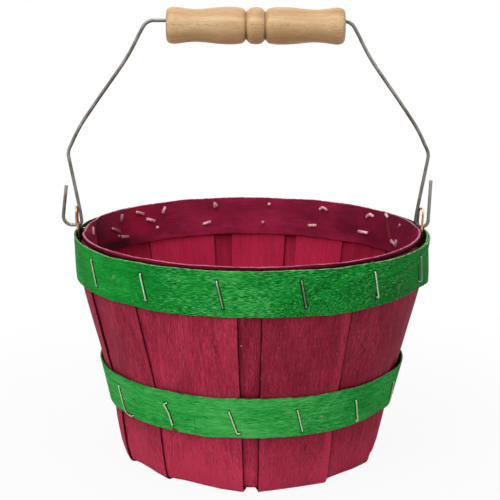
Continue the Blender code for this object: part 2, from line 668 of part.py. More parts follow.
def build():
    """Makes every piece of the basket."""
    for item in list(bpy.data.objects):
        bpy.data.objects.remove(item, do_unlink=True)
    collection = bpy.data.collections.new("round_basket")
    bpy.context.scene.collection.children.link(collection)
    materials = {}

    # The mat: six wide outer splints lapped like shingles, then six inner ones on top.
    for index, rows in enumerate(OUTER_ROWS):
        name = "outer_splint_%d" % (index + 1)
        mesh = make_splint(name, index, rows, True)
        add_object(name, mesh, "dyed_red_veneer", collection, materials)
    for index, rows in enumerate(INNER_ROWS):
        name = "inner_splint_%d" % (index + 1)
        mesh = make_splint(name, index + len(OUTER_ROWS), rows, False)
        add_object(name, mesh, "dyed_red_veneer_inner", collection, materials)

    # Hoops: two at the rim with the splint ends between them, one low on the wall.
    outside = -(GAP + HOOP_THICK)
    rim = make_hoop("rim_hoop_outer", RIM_LOW_Z, TOP_Z, outside, RIM_LAP_ANGLES, False)
    add_object("rim_hoop_outer", rim, "dyed_green_hoop", collection, materials)
    inner_depth = 2.0 * LEVEL + VENEER + GAP
    inner = make_hoop("rim_hoop_inner", INNER_LOW_Z, INNER_HIGH_Z, inner_depth,
                      INNER_LAP_ANGLES, True)
    add_object("rim_hoop_inner", inner, "dyed_red_hoop", collection, materials)
    lower = make_hoop("lower_hoop", LOWER_LOW_Z, LOWER_HIGH_Z, outside, LOWER_LAP_ANGLES, False)
    add_object("lower_hoop", lower, "dyed_green_hoop", collection, materials)

    # Staples, and their holes through everything they hold.
    cutters = bpy.data.collections.new("cutters")
    bpy.context.scene.collection.children.link(cutters)
    held = list(collection.objects)
    cutter = make_staples(collection, cutters, materials)
    for item in held:
        cut = item.modifiers.new("staple_holes", "BOOLEAN")
        cut.operation = "DIFFERENCE"
        cut.solver = "EXACT"
        cut.object = cutter

    # Eyes that the bail hooks pass through.
    for name, side, lean, twist_angle in (
            ("bail_eye_left", -1.0, LEFT_EYE_LEAN, LEFT_EYE_ANGLE),
            ("bail_eye_right", 1.0, RIGHT_EYE_LEAN, RIGHT_EYE_ANGLE)):
        mesh = tube_mesh(name, eye_points(side, lean, twist_angle), EYE_WIRE_R)
        add_object(name, mesh, "copper_wire", collection, materials)

    # Bail, with its origin on the hinge axis.
    left = bail_half(BAIL_SHIFT, LEFT_LEG, LEFT_NEAR_BEND, LEFT_FAR_BEND, LEFT_TAIL,
                     LEFT_TAIL_LEAN, LEFT_TAIL_RISE)
    right = bail_half(-BAIL_SHIFT, RIGHT_LEG, RIGHT_NEAR_BEND, RIGHT_FAR_BEND, RIGHT_TAIL,
                      RIGHT_TAIL_LEAN, RIGHT_TAIL_RISE)
    whole = [(-x, z) for x, z in reversed(left)] + right
    mesh = tube_mesh("wire_bail", [(x, 0.0, z - PIVOT_Z) for x, z in whole], WIRE_R)
    bail = add_object("wire_bail", mesh, "galvanised_wire", collection, materials)
    bail.location = (0.0, 0.0, PIVOT_Z * MM)

    # Grip, turned about its own axis and laid along X.
    grip = add_object("wood_grip", grip_mesh("wood_grip"), "turned_birch", collection, materials)
    screw = grip.modifiers.new("turned", "SCREW")
    screw.axis = "Z"
    screw.angle = 2.0 * math.pi
    screw.steps = 20
    screw.render_steps = 20
    screw.use_merge_vertices = True
    screw.merge_threshold = 0.00001
    screw.use_normal_calculate = True
    grip.rotation_euler = (0.0, 0.5 * math.pi, 0.0)
    grip.location = (GRIP_X * MM, 0.0, GRIP_Z * MM)


build()
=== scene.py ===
import math

import bpy
import numpy as np
from mathutils import Matrix


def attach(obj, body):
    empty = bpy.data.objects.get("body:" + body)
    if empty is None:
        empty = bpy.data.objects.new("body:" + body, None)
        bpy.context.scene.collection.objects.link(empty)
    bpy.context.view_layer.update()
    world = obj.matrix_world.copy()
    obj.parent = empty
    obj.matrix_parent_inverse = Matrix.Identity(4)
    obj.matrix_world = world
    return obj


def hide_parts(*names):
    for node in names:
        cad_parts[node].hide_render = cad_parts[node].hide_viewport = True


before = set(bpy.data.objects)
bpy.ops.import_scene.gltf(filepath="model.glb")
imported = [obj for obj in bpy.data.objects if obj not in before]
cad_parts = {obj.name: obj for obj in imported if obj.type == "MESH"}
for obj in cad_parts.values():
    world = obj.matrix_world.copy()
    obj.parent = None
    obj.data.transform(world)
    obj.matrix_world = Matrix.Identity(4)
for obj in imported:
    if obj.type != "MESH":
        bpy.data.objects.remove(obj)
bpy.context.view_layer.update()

# Outer splints. Six strips of red-dyed veneer, soaked, laid across each other in a star and
# bent up at the floor's edge. Each one laps over the next like a shingle, and its long edges
# are sawn, so they waver a little and stand off the strip below.

MM = 0.001
VENEER = 0.9
GAP = 0.3
LEVEL = VENEER + GAP

# The wall from the edge of the floor up: where it bends, its slopes as radius gained for each
# millimetre of height, and how softly it bends. Then where the hoops grip it.
CORNER_R = 82.0
FOLD_R = 4.0
BEND_Z = 26.0
KINK_Z = 123.0
LOWER_SLOPE = 0.2869
WALL_SLOPE = 0.2561
RIM_SLOPE = 0.0567
BEND_SOFTNESS = 5.0
SPLINT_TOP_Z = 149.6
RIM_HOOP_Z = (123.2, 151.2)
LOWER_HOOP_Z = (40.3, 67.8)
GRIP_EASE = 9.0
LOWER_TILT = math.atan(LOWER_SLOPE)
CORNER_IN = -(1.0 - math.sin(LOWER_TILT)) / math.cos(LOWER_TILT)
FOLD_START = CORNER_R + FOLD_R * CORNER_IN

# The floor: the splints are narrower at its middle, lie in one full stack out to FLAT_R and
# side by side from SPREAD_R. Each fold runs straight between two azimuths of FACETS, and the
# floor and the wall beside it follow by these shares, by radius and by height.
FLOOR_WAIST = 0.86
FLAT_R = 42.0
SPREAD_R = 76.0
FACETS = np.array([3.3, 34.2, 65.0, 86.0, 115.0, 142.0, 176.9, 183.3])
FLOOR_FACETS = ((FLAT_R, 60.0, SPREAD_R, FOLD_START), (0.0, 0.15, 0.75, 0.85))
WALL_FACETS = ((FOLD_R, 12.0, BEND_Z, 39.0), (0.85, 0.55, 0.2, 0.0))

# Azimuths are in degrees from the front, towards the right. Each splint has its two edges, then
# how far its last edge wanders at the floor, at half height and at the rim, for the near end
# and for the far end, then how light each end is dyed, and how light its last edge is.
OUTER_SPLINTS = (
    (3.5, 32.0, (2.6, 0.6, 0.0), (0.4, -0.6, 0.2), (0.0, 0.05), 0.12),
    (29.0, 65.0, (0.4, -0.2, 0.0), (-0.8, 0.3, 0.0), (-0.02, 0.0), 0.0),
    (62.0, 86.0, (0.0, 0.5, 0.0), (0.6, 0.0, -0.5), (0.0, 0.10), 0.0),
    (83.0, 115.0, (0.5, 0.0, 0.4), (-1.5, 0.6, 2.3), (-0.05, 0.08), 0.0),
    (112.0, 142.0, (0.0, 0.7, 0.0), (-1.0, 1.5, -1.0), (0.06, 0.06), 0.0),
    (139.0, 175.7, (0.6, 0.0, 0.2), (1.6, 0.5, -0.1), (0.0, 0.14), 0.0),
)
EDGE_DRIFT_Z = (0.0, 75.0, 150.0)
MM_PER_DEGREE = 1.9

# Where the foot of the wall swells out past its round line: azimuth, how far the swelling
# eases off in degrees, and the share of the radius that it adds. Then its strength by height.
FOOT_SWELL = ((277.0, 40.0, 0.07), (76.0, 34.0, 0.032), (2.0, 100.0, 0.05))
SWELL_BY_HEIGHT = ((0.0, 10.0, 28.0, 43.0), (1.1, 1.0, 0.45, 0.0))

# The splint ends are trimmed lower where the bail's eyes stand between them: by how much, each
# azimuth with the reach of its full dip in degrees, how far the dip eases off, and its start.
EYE_DIP = 6.5
EYE_DIP_AT = ((86.0, 14.0), (270.0, 9.0))
EYE_DIP_EASE = 5.0
DIP_START_Z = 128.0

# Rows of points along half a splint, the floor's up to FLOOR_SHARE of the way to the fold, and
# columns across it: one every COLUMN_MM, and LAPPED_COLUMNS in the LAPPED_MM under the next one.
FLOOR_ROWS = 30
FOLD_ROWS = 10
WALL_ROWS = 112
FLOOR_SHARE = 0.965
COLUMN_MM = 1.1
LAPPED_MM = 13.0
LAPPED_COLUMNS = 20

# How uneven a splint is: its top, the waver of a sawn edge in degrees and its wavelength, the
# curl of its free edge, and the ripple of the whole sheet with the length of a wave along and
# across. Curl and ripple begin FREE_START above the ground and are full FREE_EASE higher. Places
# across run from -1 to 1: the curl begins at CURL_START, and a lapped splint comes up by one
# level from -LAP_EASE to LAP_EASE.
TOP_UNEVEN = 0.8
SAWN_WAVER = 0.07
SAWN_WAVE = 9.0
CURL = 0.3
CURL_START = 0.55
RIPPLE = 0.09
RIPPLE_WAVES = (38.0, 1.7)
FREE_START = 0.6
FREE_EASE = 7.0
LAP_EASE = 0.45

# How far a lap's painted shadow line is shifted, in levels times the tangent of the angle it is
# seen at, which is held between two azimuths. Then how much lighter the colour is painted low on
# the wall, as painted light bounced up from the floor, by distance from the middle of the floor,
# and where the light last edge begins, by places across. The ends' own tones fade in up to
# TONE_START from the middle, and an outer splint is painted darker by LINING_SHADE inside, as
# painted shade from the inner splints.
SEAM_SHIFT = 1.25
SEAM_TURN = 1.13
SEAM_VIEW = (-33.0, 55.0)
FLOOR_BOUNCE_LIGHT = ((70.0, 78.0, 90.0, 125.0), (0.0, 0.3, 0.3, 0.0))
LIGHT_EDGE = ((0.74, 0.84), (0.0, 1.0))
TONE_START = 60.0
LINING_SHADE = 0.15

# Each sheet has its own stretch of the textures, SHEET_APART from the next. Where no edge or
# crack is near, it counts as FAR_OFF away. Both are in millimetres.
SHEET_APART = 310.0
FAR_OFF = 5.0

# One tiny chip of veneer is gone at the front: its place as for wall_point, and its radius. Two
# corners of splints are painted dark where they stand on the ground, as painted shade in the gaps
# at their feet: azimuth and radius.
CHIP = (-3.0, 102.4, 2.0 * LEVEL, 0.7)
SHADED_CORNERS = ((-4.6, 2.4), (-36.5, 3.2))

# Colours have three parts in 0 to 255, as screens show them. A dye runs from where little of it
# went in to where it pooled: pairs of a place on that scale and a colour.
VENEER_DYE = ((0.12, (64, 10, 22)), (0.5, (145, 36, 58)), (0.88, (208, 61, 91)))
SHELTERED_DYE = ((0.15, (112, 18, 40)), (0.5, (186, 38, 74)), (0.85, (216, 60, 98)))
TORN_FIBRE = (230, 136, 156)
OPEN_PORE = (64, 6, 20)
SEAM_SHADOW_AND_EDGE = (46, 6, 16)
BARE_WOOD = (232, 160, 172)
FOOT_SHADOW = (34, 8, 14)


def wander(place, wavelength, seed):
    """A smooth random curve between about -1 and 1: six cosines of unlike length, added."""
    draw = np.random.default_rng(seed)
    total = np.zeros_like(place, dtype=float)
    for stretch in (0.45, 0.63, 0.85, 1.2, 1.7, 2.6):
        phase = draw.uniform(0.0, 2.0 * math.pi)
        total += np.cos(2.0 * math.pi * place / (wavelength * stretch) + phase)
    return total / 3.2


def ripple(along, across, length, width, seed):
    """A smooth random surface: seven plane waves of unlike heading and length, added."""
    draw = np.random.default_rng(seed)
    total = np.zeros(np.broadcast(along, across).shape)
    for _ in range(7):
        share = draw.uniform(0.5, 1.6)
        lean = draw.uniform(-1.0, 1.0)
        phase = draw.uniform(0.0, 2.0 * math.pi)
        wave = along / (length * share) + lean * across / width
        total += np.cos(2.0 * math.pi * wave + phase)
    return total / 3.5


def smooth_step(value):
    """The curve 3v2 - 2v3 on a value held between 0 and 1."""
    held = np.clip(value, 0.0, 1.0)
    return held * held * (3.0 - 2.0 * held)


def degrees_from(azimuth, middle):
    """How far one azimuth lies past another, the short way round: -180 to 180 degrees."""
    return (azimuth - middle + 180.0) % 360.0 - 180.0


def patch_of(azimuth, middle, reach):
    """1 at one azimuth, easing to 0 within reach degrees on either side."""
    return smooth_step(1.0 - np.abs(degrees_from(azimuth, middle)) / reach)


def patches(azimuth, places):
    """Some patches added up, each given by its azimuth, its reach and its strength."""
    return sum(strength * patch_of(azimuth, middle, reach) for middle, reach, strength in places)


def bend_past(height, bend):
    """Height past a bend, rounded: half of away plus the root of away and softness squared."""
    away = height - bend
    start = 0.5 * (math.hypot(bend, BEND_SOFTNESS) - bend)
    return 0.5 * (away + np.hypot(away, BEND_SOFTNESS)) - start


def wall_radius(height):
    """Outer radius of the bare wall: one straight flare, bent once low down and once at the rim."""
    radius = CORNER_R + LOWER_SLOPE * height
    radius = radius + (WALL_SLOPE - LOWER_SLOPE) * bend_past(height, BEND_Z)
    return radius + (RIM_SLOPE - WALL_SLOPE) * bend_past(height, KINK_Z)


def wall_tilt(height):
    """Angle of the wall off the vertical: the arctangent of its slope at this height."""
    low = 0.5 * (1.0 + (height - BEND_Z) / np.hypot(height - BEND_Z, BEND_SOFTNESS))
    high = 0.5 * (1.0 + (height - KINK_Z) / np.hypot(height - KINK_Z, BEND_SOFTNESS))
    slope = LOWER_SLOPE + (WALL_SLOPE - LOWER_SLOPE) * low + (RIM_SLOPE - WALL_SLOPE) * high
    return np.arctan(slope)


def wall_point(azimuth, height, depth):
    """A point on the wall: the radius at this height, moved inwards square to it by depth."""
    tilt = wall_tilt(height)
    radius = wall_radius(height) - np.cos(tilt) * depth
    turn = np.radians(azimuth)
    lift = np.sin(tilt) * depth
    return np.stack(np.broadcast_arrays(radius * np.sin(turn), -radius * np.cos(turn),
                                        height + lift), axis=-1)


def fold_flatness(azimuth):
    """A straight fold's distance from the centre, over the round edge's: cos(half) / cos(away)."""
    turned = (azimuth - FACETS[0]) % 180.0 + FACETS[0]
    side = np.clip(np.searchsorted(FACETS, turned, side="right") - 1, 0, len(FACETS) - 2)
    half = 0.5 * (FACETS[side + 1] - FACETS[side])
    away = turned - 0.5 * (FACETS[side + 1] + FACETS[side])
    return np.cos(np.radians(half)) / np.cos(np.radians(away))


def splint_across(width):
    """Places across a strip from -1 to 1, one about every COLUMN_MM, with LAPPED_COLUMNS along
    the part of the first edge that the next strip laps over, and two close to each edge."""
    near_edge = 0.5 / width
    lapped = min(0.5, 2.0 * LAPPED_MM / width)
    start = np.linspace(-1.0 + 3.0 * near_edge, -1.0 + lapped, LAPPED_COLUMNS, endpoint=False)
    middle = np.linspace(-1.0 + lapped, 1.0 - 3.0 * near_edge, int(width / COLUMN_MM))
    return np.concatenate(([-1.0, -1.0 + near_edge], start, middle, [1.0 - near_edge, 1.0]))


def edge_drift(height, drift):
    """How far an edge wanders, in degrees: straight between its values at three heights."""
    return np.interp(height, EDGE_DRIFT_Z, drift)


def hoop_grip(height):
    """1 where a hoop presses on the wall, easing to 0 at GRIP_EASE away from it."""
    grip = np.zeros_like(height)
    for low, high in (LOWER_HOOP_Z, RIM_HOOP_Z):
        away = np.maximum(low - height, height - high)
        grip = np.maximum(grip, smooth_step(1.0 - away / GRIP_EASE))
    return grip


def foot_swell(azimuth, height, share):
    """How much wider the foot of the wall is here, as a share of its radius: each swelling
    eases off sideways, upwards to the lower hoop, and on the floor with the power of 4."""
    return patches(azimuth, FOOT_SWELL) * np.interp(height, *SWELL_BY_HEIGHT) * share ** 4


def eye_dip(azimuth):
    """How much lower a splint is trimmed here: EYE_DIP near an eye, easing off beside it."""
    dip = np.zeros_like(azimuth)
    for place, reach in EYE_DIP_AT:
        past = np.abs(degrees_from(azimuth, place)) - reach
        dip = np.maximum(dip, np.clip(1.0 - past / EYE_DIP_EASE, 0.0, 1.0))
    return EYE_DIP * dip


def lap_edges(outer, order, far, height):
    """The edges, in degrees, of the strips that lap over this one: an outer strip has one over
    its first edge, and the first inner strip shows between two outer ones."""
    low = np.full_like(height, -400.0)
    high = np.full_like(height, 400.0)
    if outer and order > 0:
        above = OUTER_SPLINTS[order - 1]
        low = above[1] + edge_drift(height, above[3] if far else above[2])
    if order == len(OUTER_SPLINTS):
        above = OUTER_SPLINTS[-1]
        low = above[1] - 180.0 + edge_drift(height, above[2] if far else above[3])
        high = OUTER_SPLINTS[0][0] + 0.0 * height
    return low, high


def splint_arm(splint, order, outer, far):
    """Half a strip, from the middle of the floor to its top edge: a flat stretch, a fold of
    radius FOLD_R and the wall, each sunk by its level in the stack. Returns both faces, the
    place of each point on the strip in millimetres, and its distance in millimetres from the
    edges that lap over it, less what such an edge hides from straight ahead."""
    first, last, near_drift, far_drift, _, _ = splint
    centre = 0.5 * (first + last)
    half = 0.5 * (last - first)
    across = splint_across((last - first) * MM_PER_DEGREE)
    drift = far_drift if far else near_drift
    seed = 100 * order + 10 * int(far)
    behind = 180.0 * far

    floor = np.linspace(0.0, FLOOR_SHARE, FLOOR_ROWS)
    bend = np.linspace(0.0, 0.5 * math.pi - LOWER_TILT, FOLD_ROWS)
    fold_top = FOLD_R * (1.0 - math.sin(LOWER_TILT))
    top = SPLINT_TOP_Z + TOP_UNEVEN * math.sin(7.0 * order + 3.0 * far)
    wall = np.linspace(fold_top, top, WALL_ROWS)[1:]
    height = np.concatenate((0.0 * floor, FOLD_R * (1.0 - np.cos(bend)), wall))[:, None]
    radius = np.concatenate((FOLD_START * floor, FOLD_START + FOLD_R * np.sin(bend),
                             wall_radius(wall)))[:, None]
    step = np.hypot(np.diff(radius[:, 0]), np.diff(height[:, 0]))
    along = np.concatenate(([0.0], np.cumsum(step)))[:, None]

    right = edge_drift(height, drift) + SAWN_WAVER * wander(along, SAWN_WAVE, seed + 1)
    left = SAWN_WAVER * wander(along, SAWN_WAVE, seed + 2)
    azimuth = centre + half * across + right * 0.5 * (1.0 + across) + left * 0.5 * (1.0 - across)
    dip = np.clip((height - DIP_START_Z) / (top - DIP_START_Z), 0.0, 1.0)
    dip = dip * eye_dip(azimuth + behind)
    radius = radius + wall_radius(height - dip) - wall_radius(height)
    height = height - dip
    turn = np.radians(azimuth)
    offset = np.radians(azimuth - centre)

    row = np.arange(len(height))[:, None]
    on_floor = row < len(floor)
    folded = ~on_floor & (row < len(floor) + len(bend))
    share = np.concatenate((floor, np.ones(len(bend) + len(wall))))[:, None]
    start = CORNER_R * FLOOR_WAIST * np.sin(offset)
    side = np.radians(centre)
    spot_x = np.cos(side) * start * (1.0 - share) + np.sin(turn) * FOLD_START * share
    spot_y = np.sin(side) * start * (1.0 - share) - np.cos(turn) * FOLD_START * share
    reach = np.where(on_floor, np.hypot(spot_x, spot_y), radius)
    heading = np.where(on_floor, np.arctan2(spot_x, -spot_y), turn)

    spread = np.clip((SPREAD_R - reach) / (SPREAD_R - FLAT_R), 0.0, 1.0) * on_floor
    straight = np.where(on_floor, np.interp(reach, *FLOOR_FACETS), np.interp(height, *WALL_FACETS))
    flat = 1.0 - straight * (1.0 - fold_flatness(np.degrees(heading)))
    flat = flat * (1.0 + foot_swell(np.degrees(heading) + behind, height, share))

    lap = np.clip((LAP_EASE - across) / (2.0 * LAP_EASE), 0.0, 1.0)
    lap = lap * (order not in (0, len(OUTER_SPLINTS)))
    if outer:
        settled = lap + 0.0 * height
    else:
        fade = np.clip((BEND_Z - height) / (BEND_Z - FOLD_R), 0.0, 1.0)
        settled = 2.0 + lap * np.where(height > 10.0, fade, 1.0)
    level = order * spread + (1.0 - spread) * settled
    loose = (1.0 - hoop_grip(height)) * np.clip((height - FREE_START) / FREE_EASE, 0.0, 1.0)
    free_edge = np.clip((across - CURL_START) / (1.0 - CURL_START), 0.0, 1.0) ** 2
    depth = LEVEL * level - free_edge * loose * CURL
    depth = depth + RIPPLE * ripple(along, across, *RIPPLE_WAVES, seed + 3) * loose

    tilt = wall_tilt(height[:, :1])
    inward = np.where(on_floor, 0.0, np.where(folded, CORNER_IN, -np.cos(tilt)))
    rise = np.where(on_floor | folded, 1.0, np.sin(tilt))
    faces = []
    for face_depth in (depth, depth + VENEER):
        out = reach * flat + inward * face_depth
        faces.append(np.stack((out * np.sin(heading), -out * np.cos(heading),
                               height + rise * face_depth), axis=-1))
    if far:
        faces = [face * (-1.0, -1.0, 1.0) for face in faces]
    from_middle = np.where(on_floor, np.cos(side) * spot_x + np.sin(side) * spot_y, reach * offset)
    place = np.stack((from_middle, along + 0.0 * across), axis=-1)

    # The seam distance places the painted shadow line that each lapping edge casts.
    low, high = lap_edges(outer, order, far, height)
    seam = np.minimum(azimuth - low, high - azimuth) * reach * math.pi / 180.0
    facing = np.clip(degrees_from(azimuth + behind, 0.0), *SEAM_VIEW)
    seam = seam - SEAM_SHIFT * LEVEL * np.tan(np.radians(SEAM_TURN * facing))
    return faces, place, np.clip(seam, -FAR_OFF, FAR_OFF)


def join_arms(near, far):
    """Lays two arms end to end: the far one back to front and mirrored across the strip."""
    return np.concatenate((far[::-1, ::-1][:-1], near), axis=0)


def swept_volume(points, faces):
    """Six times the volume between some faces and the origin, below 0 where they face inwards:
    each face is a fan of triangles, and the triple products of their corners are added up."""
    corners = points[faces]
    total = 0.0
    for k in range(1, faces.shape[1] - 1):
        total += np.einsum("ij,ij", corners[:, 0], np.cross(corners[:, k], corners[:, k + 1]))
    return total


def put_in_scene(name, data):
    """A new object that shows this mesh, lamp or camera, linked to the scene."""
    item = bpy.data.objects.new(name, data)
    bpy.context.scene.collection.objects.link(item)
    return item


def add_mesh(name, points, faces):
    """A smooth object in the scene, from points in metres and the corners of each face."""
    mesh = bpy.data.meshes.new(name)
    mesh.from_pydata(points, [], faces)
    mesh.shade_smooth()
    mesh.update()
    return put_in_scene(name, mesh)


def closed_sheet(name, outside, inside, place, order, extra):
    """A thin solid between two grids of points, closed by a rim that bulges by a fifth of the
    thickness. The rim's corners are marked 1 in the attribute rim. Place is kept in sheet, with
    SHEET_APART times the sheet's order as its third part. Extra attributes are grids of values,
    or a pair of grids where the two faces differ."""
    rows, columns = outside.shape[:2]
    index = np.arange(rows * columns).reshape(rows, columns)
    around = np.concatenate((index[0, :], index[1:, -1], index[-1, -2::-1], index[-2:0:-1, 0]))
    row, column = np.divmod(around, columns)
    inner_row = np.clip(row, 1, rows - 2)
    inner_column = np.clip(column, 1, columns - 2)
    middle = 0.5 * (outside[row, column] + inside[row, column])
    thickness = np.linalg.norm(outside[row, column] - inside[row, column], axis=1)
    away = middle - 0.5 * (outside[inner_row, inner_column] + inside[inner_row, inner_column])
    away /= np.linalg.norm(away, axis=1)[:, None]
    middle = middle + away * 0.2 * thickness[:, None]
    points = np.concatenate((outside.reshape(-1, 3), inside.reshape(-1, 3), middle)) * MM

    count = rows * columns
    quads = np.stack((index[:-1, :-1], index[:-1, 1:], index[1:, 1:], index[1:, :-1]), axis=-1)
    quads = quads.reshape(-1, 4)
    ring = 2 * count + np.arange(len(around))
    following = np.roll(around, -1)
    next_ring = np.roll(ring, -1)
    outer_rim = np.stack((following, around, ring, next_ring), axis=-1)
    inner_rim = np.stack((next_ring, ring, around + count, following + count), axis=-1)
    faces = np.concatenate((quads, quads[:, ::-1] + count, outer_rim, inner_rim))
    if swept_volume(points, faces) < 0.0:
        faces = faces[:, ::-1]

    item = add_mesh(name, points, faces.tolist())
    attributes = item.data.attributes
    on_rim = np.zeros(len(faces))
    on_rim[2 * len(quads):] = 1.0
    attributes.new("rim", "FLOAT", "CORNER").data.foreach_set("value", np.repeat(on_rim, 4))
    flat_place = place.reshape(-1, 2)
    flat_place = np.concatenate((flat_place, flat_place, flat_place[around]))
    flat_place = np.insert(flat_place, 2, SHEET_APART * order, axis=1) * MM
    attributes.new("sheet", "FLOAT_VECTOR", "POINT").data.foreach_set("vector", flat_place.ravel())
    for label, values in extra.items():
        front, back = values if isinstance(values, tuple) else (values, values)
        flat = np.concatenate((front.ravel(), back.ravel(), front.ravel()[around]))
        attributes.new(label, "FLOAT", "POINT").data.foreach_set("value", flat)
    return item


def colour(red, green, blue):
    """A colour in 0 to 255 as screens show it, as the linear colour that a shader takes."""
    parts = np.array((red, green, blue)) / 255.0
    linear = np.where(parts <= 0.04045, parts / 12.92, ((parts + 0.055) / 1.055) ** 2.4)
    return tuple(float(part) for part in linear) + (1.0,)


class Dye:
    """A shader value. Arithmetic on it adds Math nodes, and node adds a node of any other kind."""

    def __init__(self, tree, socket):
        self.tree = tree
        self.socket = socket

    def node(self, kind, settings, sockets, output=0):
        """Adds a node: settings first, ramp stops among them, then values or links by socket."""
        added = self.tree.nodes.new(kind)
        for name, value in settings.items():
            if name == "stops":
                ramp = added.color_ramp.elements
                while len(ramp) < len(value):
                    ramp.new(0.5)
                for stop, (position, tint) in zip(ramp, value):
                    stop.position = position
                    stop.color = colour(*tint)
            else:
                setattr(added, name, value)
        for key, value in sockets.items():
            if isinstance(value, Dye):
                self.tree.links.new(value.socket, added.inputs[key])
            else:
                added.inputs[key].default_value = value
        return Dye(self.tree, added.outputs[output])

    def maths(self, operation, first, second=0.0, clamp=False):
        """One Math node on two values, its result held between 0 and 1 if clamp is set."""
        return self.node("ShaderNodeMath", {"operation": operation, "use_clamp": clamp},
                         {0: first, 1: second})

    def __add__(self, other):
        return self.maths("ADD", self, other)

    def __radd__(self, other):
        return self.maths("ADD", other, self)

    def __sub__(self, other):
        return self.maths("SUBTRACT", self, other)

    def __rsub__(self, other):
        return self.maths("SUBTRACT", other, self)

    def __mul__(self, other):
        return self.maths("MULTIPLY", self, other)

    def __rmul__(self, other):
        return self.maths("MULTIPLY", other, self)

    def size(self):
        """The value without its sign."""
        return self.maths("ABSOLUTE", self)

    def band(self, low, high):
        """0 below low, 1 above high and a smooth step between; high may be the lower of the two."""
        return self.node("ShaderNodeMapRange", {"interpolation_type": "SMOOTHSTEP"},
                         {"Value": self, "From Min": low, "From Max": high})

    def attribute(self, name, output=2):
        """What the mesh keeps under a name, as a value or as a vector at output 1."""
        return self.node("ShaderNodeAttribute", {"attribute_name": name}, {}, output)

    def spot(self):
        """The place on the object, in metres."""
        return self.node("ShaderNodeTexCoord", {}, {}, 3)

    def part(self, axis):
        """One of the three parts of this vector."""
        return self.node("ShaderNodeSeparateXYZ", {}, {0: self}, axis)

    def distance(self, spot):
        """Distance of this vector from a spot."""
        return self.node("ShaderNodeVectorMath", {"operation": "DISTANCE"}, {0: self, 1: spot}, 1)

    def noise(self, stretch, detail=2.0, roughness=0.5, distortion=0.0):
        """Noise on this vector, stretched by so many cells a metre along each axis."""
        scaled = self.node("ShaderNodeMapping", {}, {"Vector": self, "Scale": stretch})
        return self.node("ShaderNodeTexNoise", {},
                         {"Vector": scaled, "Scale": 1.0, "Detail": detail,
                          "Roughness": roughness, "Distortion": distortion})

    def near(self, azimuth, height, depth, radius):
        """1 at a spot on the wall, given as for wall_point, and 0 past the radius around it."""
        spot = wall_point(np.array(azimuth), np.array(height), depth) * MM
        away = self.distance(tuple(float(part) for part in spot))
        return away.band(radius * MM, 0.4 * radius * MM)

    def ramp(self, stops):
        """The colour that a dye has at this value, straight between its stops."""
        return self.node("ShaderNodeValToRGB", {"stops": stops}, {0: self})

    def blend(self, first, second):
        """Mixes two shades, plain colours among them, with this value as the factor."""
        first, second = (shade if isinstance(shade, Dye) else colour(*shade)
                         for shade in (first, second))
        return self.node("ShaderNodeMix", {"data_type": "RGBA"}, {0: self, 6: first, 7: second}, 2)


def new_finish(name, specular=0.5, metallic=0.0):
    """An empty material: its own Principled shader, and a Dye to start its nodes from."""
    material = bpy.data.materials.new(name)
    material.use_nodes = True
    tree = material.node_tree
    shader = tree.nodes["Principled BSDF"]
    shader.inputs["Specular IOR Level"].default_value = specular
    shader.inputs["Metallic"].default_value = metallic
    return material, shader, Dye(tree, None)


def cover(shader, shade, roughness, relief=None, strength=0.0, depth=0.0):
    """Links a shade and a roughness to a shader, and a relief as a bump of so many metres."""
    shade.tree.links.new(shade.socket, shader.inputs["Base Color"])
    shade.tree.links.new(roughness.socket, shader.inputs["Roughness"])
    if relief is not None:
        bump = relief.node("ShaderNodeBump", {}, {"Strength": strength, "Distance": depth,
                                                  "Height": relief})
        shade.tree.links.new(bump.socket, shader.inputs["Normal"])


